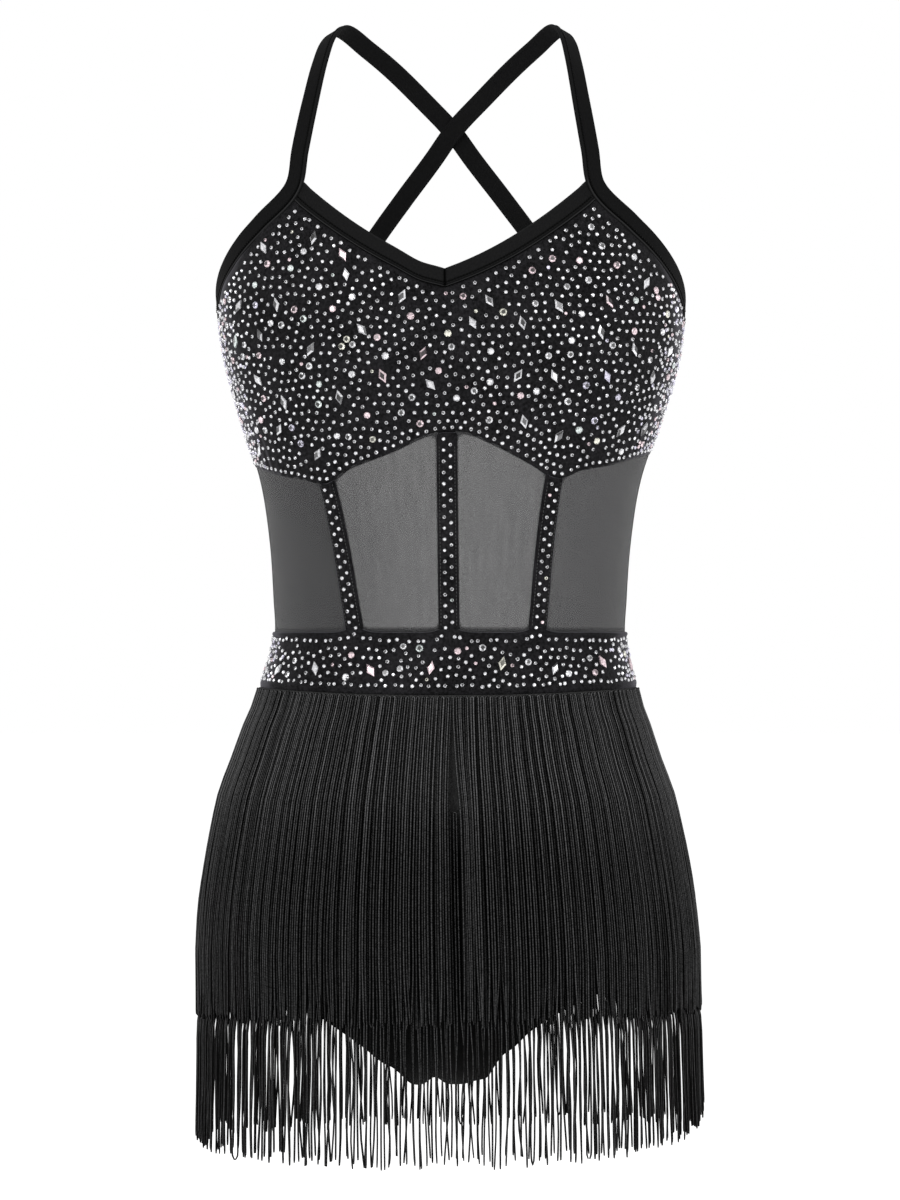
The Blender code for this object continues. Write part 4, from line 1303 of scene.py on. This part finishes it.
def runs(angle, sizes, seed):
    """Neighbouring strands taken in runs, whose length is drawn from a range that depends on the angle.
    Returns each strand's run number and the run's middle."""
    draw = np.random.default_rng(seed)
    low, high = sizes(np.abs(angle))
    number, start = np.zeros(len(angle), int), 0
    while start < len(angle):
        stop = start + int(round(draw.uniform(low[start], high[start])))
        number[start:stop] = start
        start = stop
    _, number = np.unique(number, return_inverse=True)
    return number, (np.bincount(number, angle) / np.bincount(number))[number]


def behind(angle):
    """Where on the back a strand hangs so that the eye sees it straight behind one in front."""
    keys = np.linspace(-SIDE, SIDE, 800)
    c, d = math.cos(TURNED), math.sin(TURNED)
    seen = []
    for at in (keys, math.pi - keys):
        p = hang(form(at, -0.56 + 0 * keys, 0.005))
        seen.append((p[:, 0] * c + p[:, 1] * d) / (EYE_AWAY + p[:, 1] * c - p[:, 0] * d))
    return np.interp(np.interp(angle, keys, seen[0]), seen[1], keys)


def looped(centre, normal, thick):
    """Strands taken in pairs, each pair as one line: up one strand, over a half circle, and down the other."""
    arch = np.linspace(0, math.pi, LOOP_RINGS + 2)[1:-1][None, :, None]
    first, second = centre[0::2, :1], centre[1::2, :1]
    reach = (first - second) / 2
    rise = np.array((0, 0, 1.0)) * np.linalg.norm(reach, axis=-1, keepdims=True)
    over = (first + second) / 2 + reach * np.cos(arch) + rise * np.sin(arch)
    joined = [
        np.concatenate([values[0::2, ::-1], np.repeat(values[0::2, :1], LOOP_RINGS, 1), values[1::2]], 1)
        for values in (centre, normal, thick)
    ]
    rings = centre.shape[1]
    joined[0][:, rings:rings + LOOP_RINGS] = over
    return joined


def strand_tones_and_shade(draw, loop, facing):
    """Each strand has a tone of its own, evenly drawn, from which most of the mean of its neighbours is taken, so
    that no broad streaks show. Tones differ more near the waistband than lower down, where painted shade makes all
    a little darker. Painted shade also takes them to nothing on a strand's sides and inner side, leaving a painted
    highlight down its outer middle."""
    mean, near = 0.71, 5
    own = draw.uniform(0.42, 1.0, (2, len(loop))).T.ravel()
    local = np.convolve(np.pad(own, near // 2, "reflect"), np.full(near, 1 / near), "valid")
    own = (own - 0.8 * (local - mean)).reshape(-1, 2)
    rings = (loop.shape[1] - LOOP_RINGS) // 2
    own = np.repeat(own, (rings + LOOP_RINGS // 2, rings + LOOP_RINGS // 2 + 1), axis=1)[..., None]
    lower = ease((-0.405 - loop[..., 2]) / 0.055)[..., None]
    varied = mean + (own - mean) * (1.35 - 0.55 * lower)
    # Painted shade: darker lower down, and falling to nothing away from each strand's outer middle.
    return varied * (1 - 0.27 * lower) * np.clip((facing - 0.50) / 0.50, 0.0, 1)


def fringe_tier(name, back, count, head, foot, ragged, out_at, seed, gather, radius, parting=0.0, rings=22):
    """Half a tier. Strands hang in pairs, each pair one loop over the heading: straight down the hips in runs that
    lean a little each way, then free, gathered into clumps, and cut unevenly. A parting is a wedge that opens
    towards +X. Near its end a strand thins; the last millimetres of a few pairs close into a loop."""
    draw = np.random.default_rng(seed)
    end = SIDE - 0.0009 / 0.147  # 0.9 mm short of the side seam, where the hips' half width is 147 mm
    loose = draw.normal(0, 0.0008, count) + np.repeat(draw.normal(0, 0.0022, count // 2), 2)
    angle = np.linspace(-end, end, count) + 0.4 * loose

    def clump_sizes(a):
        """One or two strands in the middle, and more towards the sides, by even powers of the sine."""
        beside = np.sin(a) ** 8
        return 1 + 1.6 * beside, 1.9 + np.sin(a) ** 2 + 2.6 * beside

    _, middles = runs(angle, clump_sizes, seed + 2)
    number, _ = runs(angle, lambda a: (3 + 0 * a, 13 + 0 * a), seed + 3)
    if back:
        draw = np.random.default_rng(seed + 5)
        shift = 0.003 * noise(seed + 6, angle * 30) + draw.uniform(-0.002, 0.002, count)
        angle, middles = (np.clip(behind(values) + shift, -end, end) for values in (angle, middles))
    turned = math.pi - angle if back else angle
    top = head(turned)
    bottom = foot(turned) + draw.uniform(-1, 1, count) * ragged + 0.5 * ragged * noise(seed + 1, angle * 40)
    closed = np.repeat(draw.random(count // 2) < 0.03, 2)
    bottom[1::2] = np.where(closed[1::2], bottom[0::2], bottom[1::2])
    # From here on, a row for each strand and a column for each ring.
    angle, middles, loose, top, bottom = (values[:, None] for values in (angle, middles, loose, top, bottom))
    steps = np.concatenate([np.linspace(0, 0.975, rings - 3), (0.988, 0.996, 1.0)])
    height = top + (bottom - top) * steps
    fallen, free = ease((top - height) / 0.10), ease((HANG_FREE - height) / 0.045)
    own = draw.normal(0, 1, (6, count, 1))
    lean = draw.normal(0, 0.0030, number.max() + 1)[number][:, None]
    lateral = angle + 0.6 * loose * (1 - fallen) + lean * fallen * (1 - 0.5 * free) + 0.0010 * fallen * own[0]
    pull = np.clip(0.70 - 0.15 * np.sin(angle) ** 4 + 0.14 * own[1], 0.2, 0.95)
    lateral = lateral + (middles - lateral) * pull * free * gather
    swayed = free * 0.0030 * own[2] * np.sin(height * 95 + own[3] * 5)
    splayed = 0.0060 * own[4] * ease((bottom + 0.045 - height) / 0.05) ** 2
    lateral = lateral + swayed + splayed
    if parting:
        away = angle - 0.0505
        opening = np.clip((-0.372 - height) / 0.056, 0, 1)
        lateral = lateral + opening * parting / 0.118 * np.where(away > 0, 0.66, -0.34) * bell(away / 0.07)
    pair = lateral.reshape(-1, 2, rings)
    near = np.interp(bottom + 0.0035 - height, (0.0, 0.0035), (0.0, 1.0)).reshape(pair.shape) ** 2
    pair = pair + (pair.mean(1, keepdims=True) - pair) * near * closed.reshape(-1, 2)[..., None]
    lateral = pair.reshape(lateral.shape)
    layer = (np.arange(count) // 2 % 2)[:, None]
    waved = 0.0002 * fallen * own[4] * np.sin(height * 60 + own[1] * 4)
    out = out_at(height) - 0.0003 * layer + 0.0006 * free * own[5] + waved
    placed = math.pi - lateral if back else lateral
    centre, normal = form(placed, height, out), form_normal(placed, np.maximum(height, -0.5))
    thick = radius * draw.uniform(0.90, 1.10, count)[:, None] * (0.90 + 0.15 * fallen - 0.13 * free)
    loop, normals, radii = looped(centre, normal, thick * np.interp(steps, (0.99, 1.0), (1.0, 0.75)))
    points, faces, facing = strand_tubes(loop, normals, radii)
    along = lengths(loop, 1) + draw.uniform(0, 0.01, (len(loop), 1))
    uv = np.stack(np.broadcast_arrays(facing * 0.5 + 0.5, (along * 1000)[..., None]), -1).reshape(-1, 2)
    # The tone carries each strand's own tone, painted shade and a painted highlight.
    tone = strand_tones_and_shade(draw, loop, facing).ravel()
    new_piece(f"{name}_strands", points, faces, FRINGE, "fringe", [name], uv, tone=tone)


def upper_out(height):
    """How far the upper tier stands off: it leaves the waistband's edge and rises over the lower one's head."""
    return 0.0039 * (1 + ease((-0.390 - height) / 0.037)) - 0.0007 - 0.0026 * ease((height + 0.392) / 0.024)


def lower_out(height):
    """How far the lower tier stands off: a little further towards its ends."""
    return 0.0032 + 0.0036 * ease((HANG_FREE - height) / 0.030) + 0.0010 * ease((-0.560 - height) / 0.05)


def upper_foot(angle):
    """The upper tier's ends, a little lower in the middle by the cosine squared."""
    return -0.5390 - 0.0010 * np.cos(angle) ** 2


def lower_foot(angle):
    """The lower tier's ends, which rise towards the sides by high powers of the sine."""
    sine = np.sin(angle)
    return FRINGE_FOOT + 0.0060 * sine**4 + 0.0030 * np.maximum(sine, 0) ** 4 + (0.0050 + 0.0020 * sine) * sine**40


def fringe():
    """Two tiers, each with a front and a back half. Both hang straight down from the widest part of the hips."""
    for half, back in (("front", False), ("back", True)):
        fringe_tier(
            f"fringe_upper_{half}", back, 250, beyond(band_foot, -0.0018), upper_foot, 0.0026, upper_out,
            seed=110, gather=0.0, radius=0.00065, parting=0.0 if back else 0.0054,
        )
        fringe_tier(
            f"fringe_lower_{half}", back, 240, level(FRINGE_HEAD), lower_foot, 0.0036, lower_out,
            seed=120, gather=1.0, radius=0.00060,
        )


bodice()
mesh_panels()
strips()
waistband()
brief()
bindings()
bust_stones()
waist_stones()
strip_stones()
fringe()


# ---------------------------------------------------------------- studio
def lamp(name, size, power, place, aim):
    """A soft square light that faces a point."""
    data = bpy.data.lights.new(name, "AREA")
    data.shape, data.size, data.energy = "SQUARE", size, power
    made = bpy.data.objects.new(name, data)
    bpy.context.scene.collection.objects.link(made)
    place, aim = np.array(place, float), np.array(aim, float)
    back = unit(place - aim)
    right = unit(np.cross((0, 0, 1), back))
    up = np.cross(back, right)
    made.matrix_world = Matrix([[right[k], up[k], back[k], place[k]] for k in range(3)] + [[0, 0, 0, 1]])


def floor(radius=14, sides=96):
    """A round floor under the dress."""
    mesh = bpy.data.meshes.new("floor")
    turn = turns(sides)
    points = np.stack([radius * np.cos(turn), radius * np.sin(turn), 0 * turn + FLOOR], -1)
    mesh.from_pydata(points.tolist(), [], [list(range(sides))])
    mesh.materials.append(pale_floor())
    made = bpy.data.objects.new("floor", mesh)
    bpy.context.scene.collection.objects.link(made)


def camera():
    """A camera a little to one side, level with the middle of the dress, that sees SEEN metres of height there."""
    data = bpy.data.cameras.new("camera")
    data.sensor_width, data.sensor_fit = 36.0, "AUTO"
    data.lens = 36 * EYE_AWAY / SEEN
    data.dof.use_dof = False
    made = bpy.data.objects.new("camera", data)
    c, d = math.cos(TURNED), math.sin(TURNED)
    ahead = ((c, 0, d, EYE_AWAY * d), (d, 0, -c, -EYE_AWAY * c), (0, 1, 0, EYE_HEIGHT), (0, 0, 0, 1))
    made.matrix_world = Matrix(ahead)
    bpy.context.scene.collection.objects.link(made)
    bpy.context.scene.camera = made


def studio():
    """A pale floor, a white room, and soft lights in front, at both sides and behind."""
    floor()
    world = bpy.data.worlds.new("white_room")
    bpy.context.scene.world = world
    world.use_nodes = True
    light = world.node_tree.nodes["Background"].inputs
    light["Color"].default_value, light["Strength"].default_value = (1, 1, 1, 1), 1.0
    for name, size, power, place in (
        ("key", 1.2, 26, (-0.9, -1.9, 0.9)), ("fill", 1.4, 12, (1.5, -1.6, 0.2)),
        ("rim_right", 0.8, 10, (-1.5, 0.9, 0.2)), ("rim_left", 0.8, 10, (1.5, 0.9, 0.2)),
    ):
        lamp(name, size, power, place, aim=(0, 0, -0.31))
    bpy.context.scene.view_settings.view_transform = "Standard"
    camera()


studio()
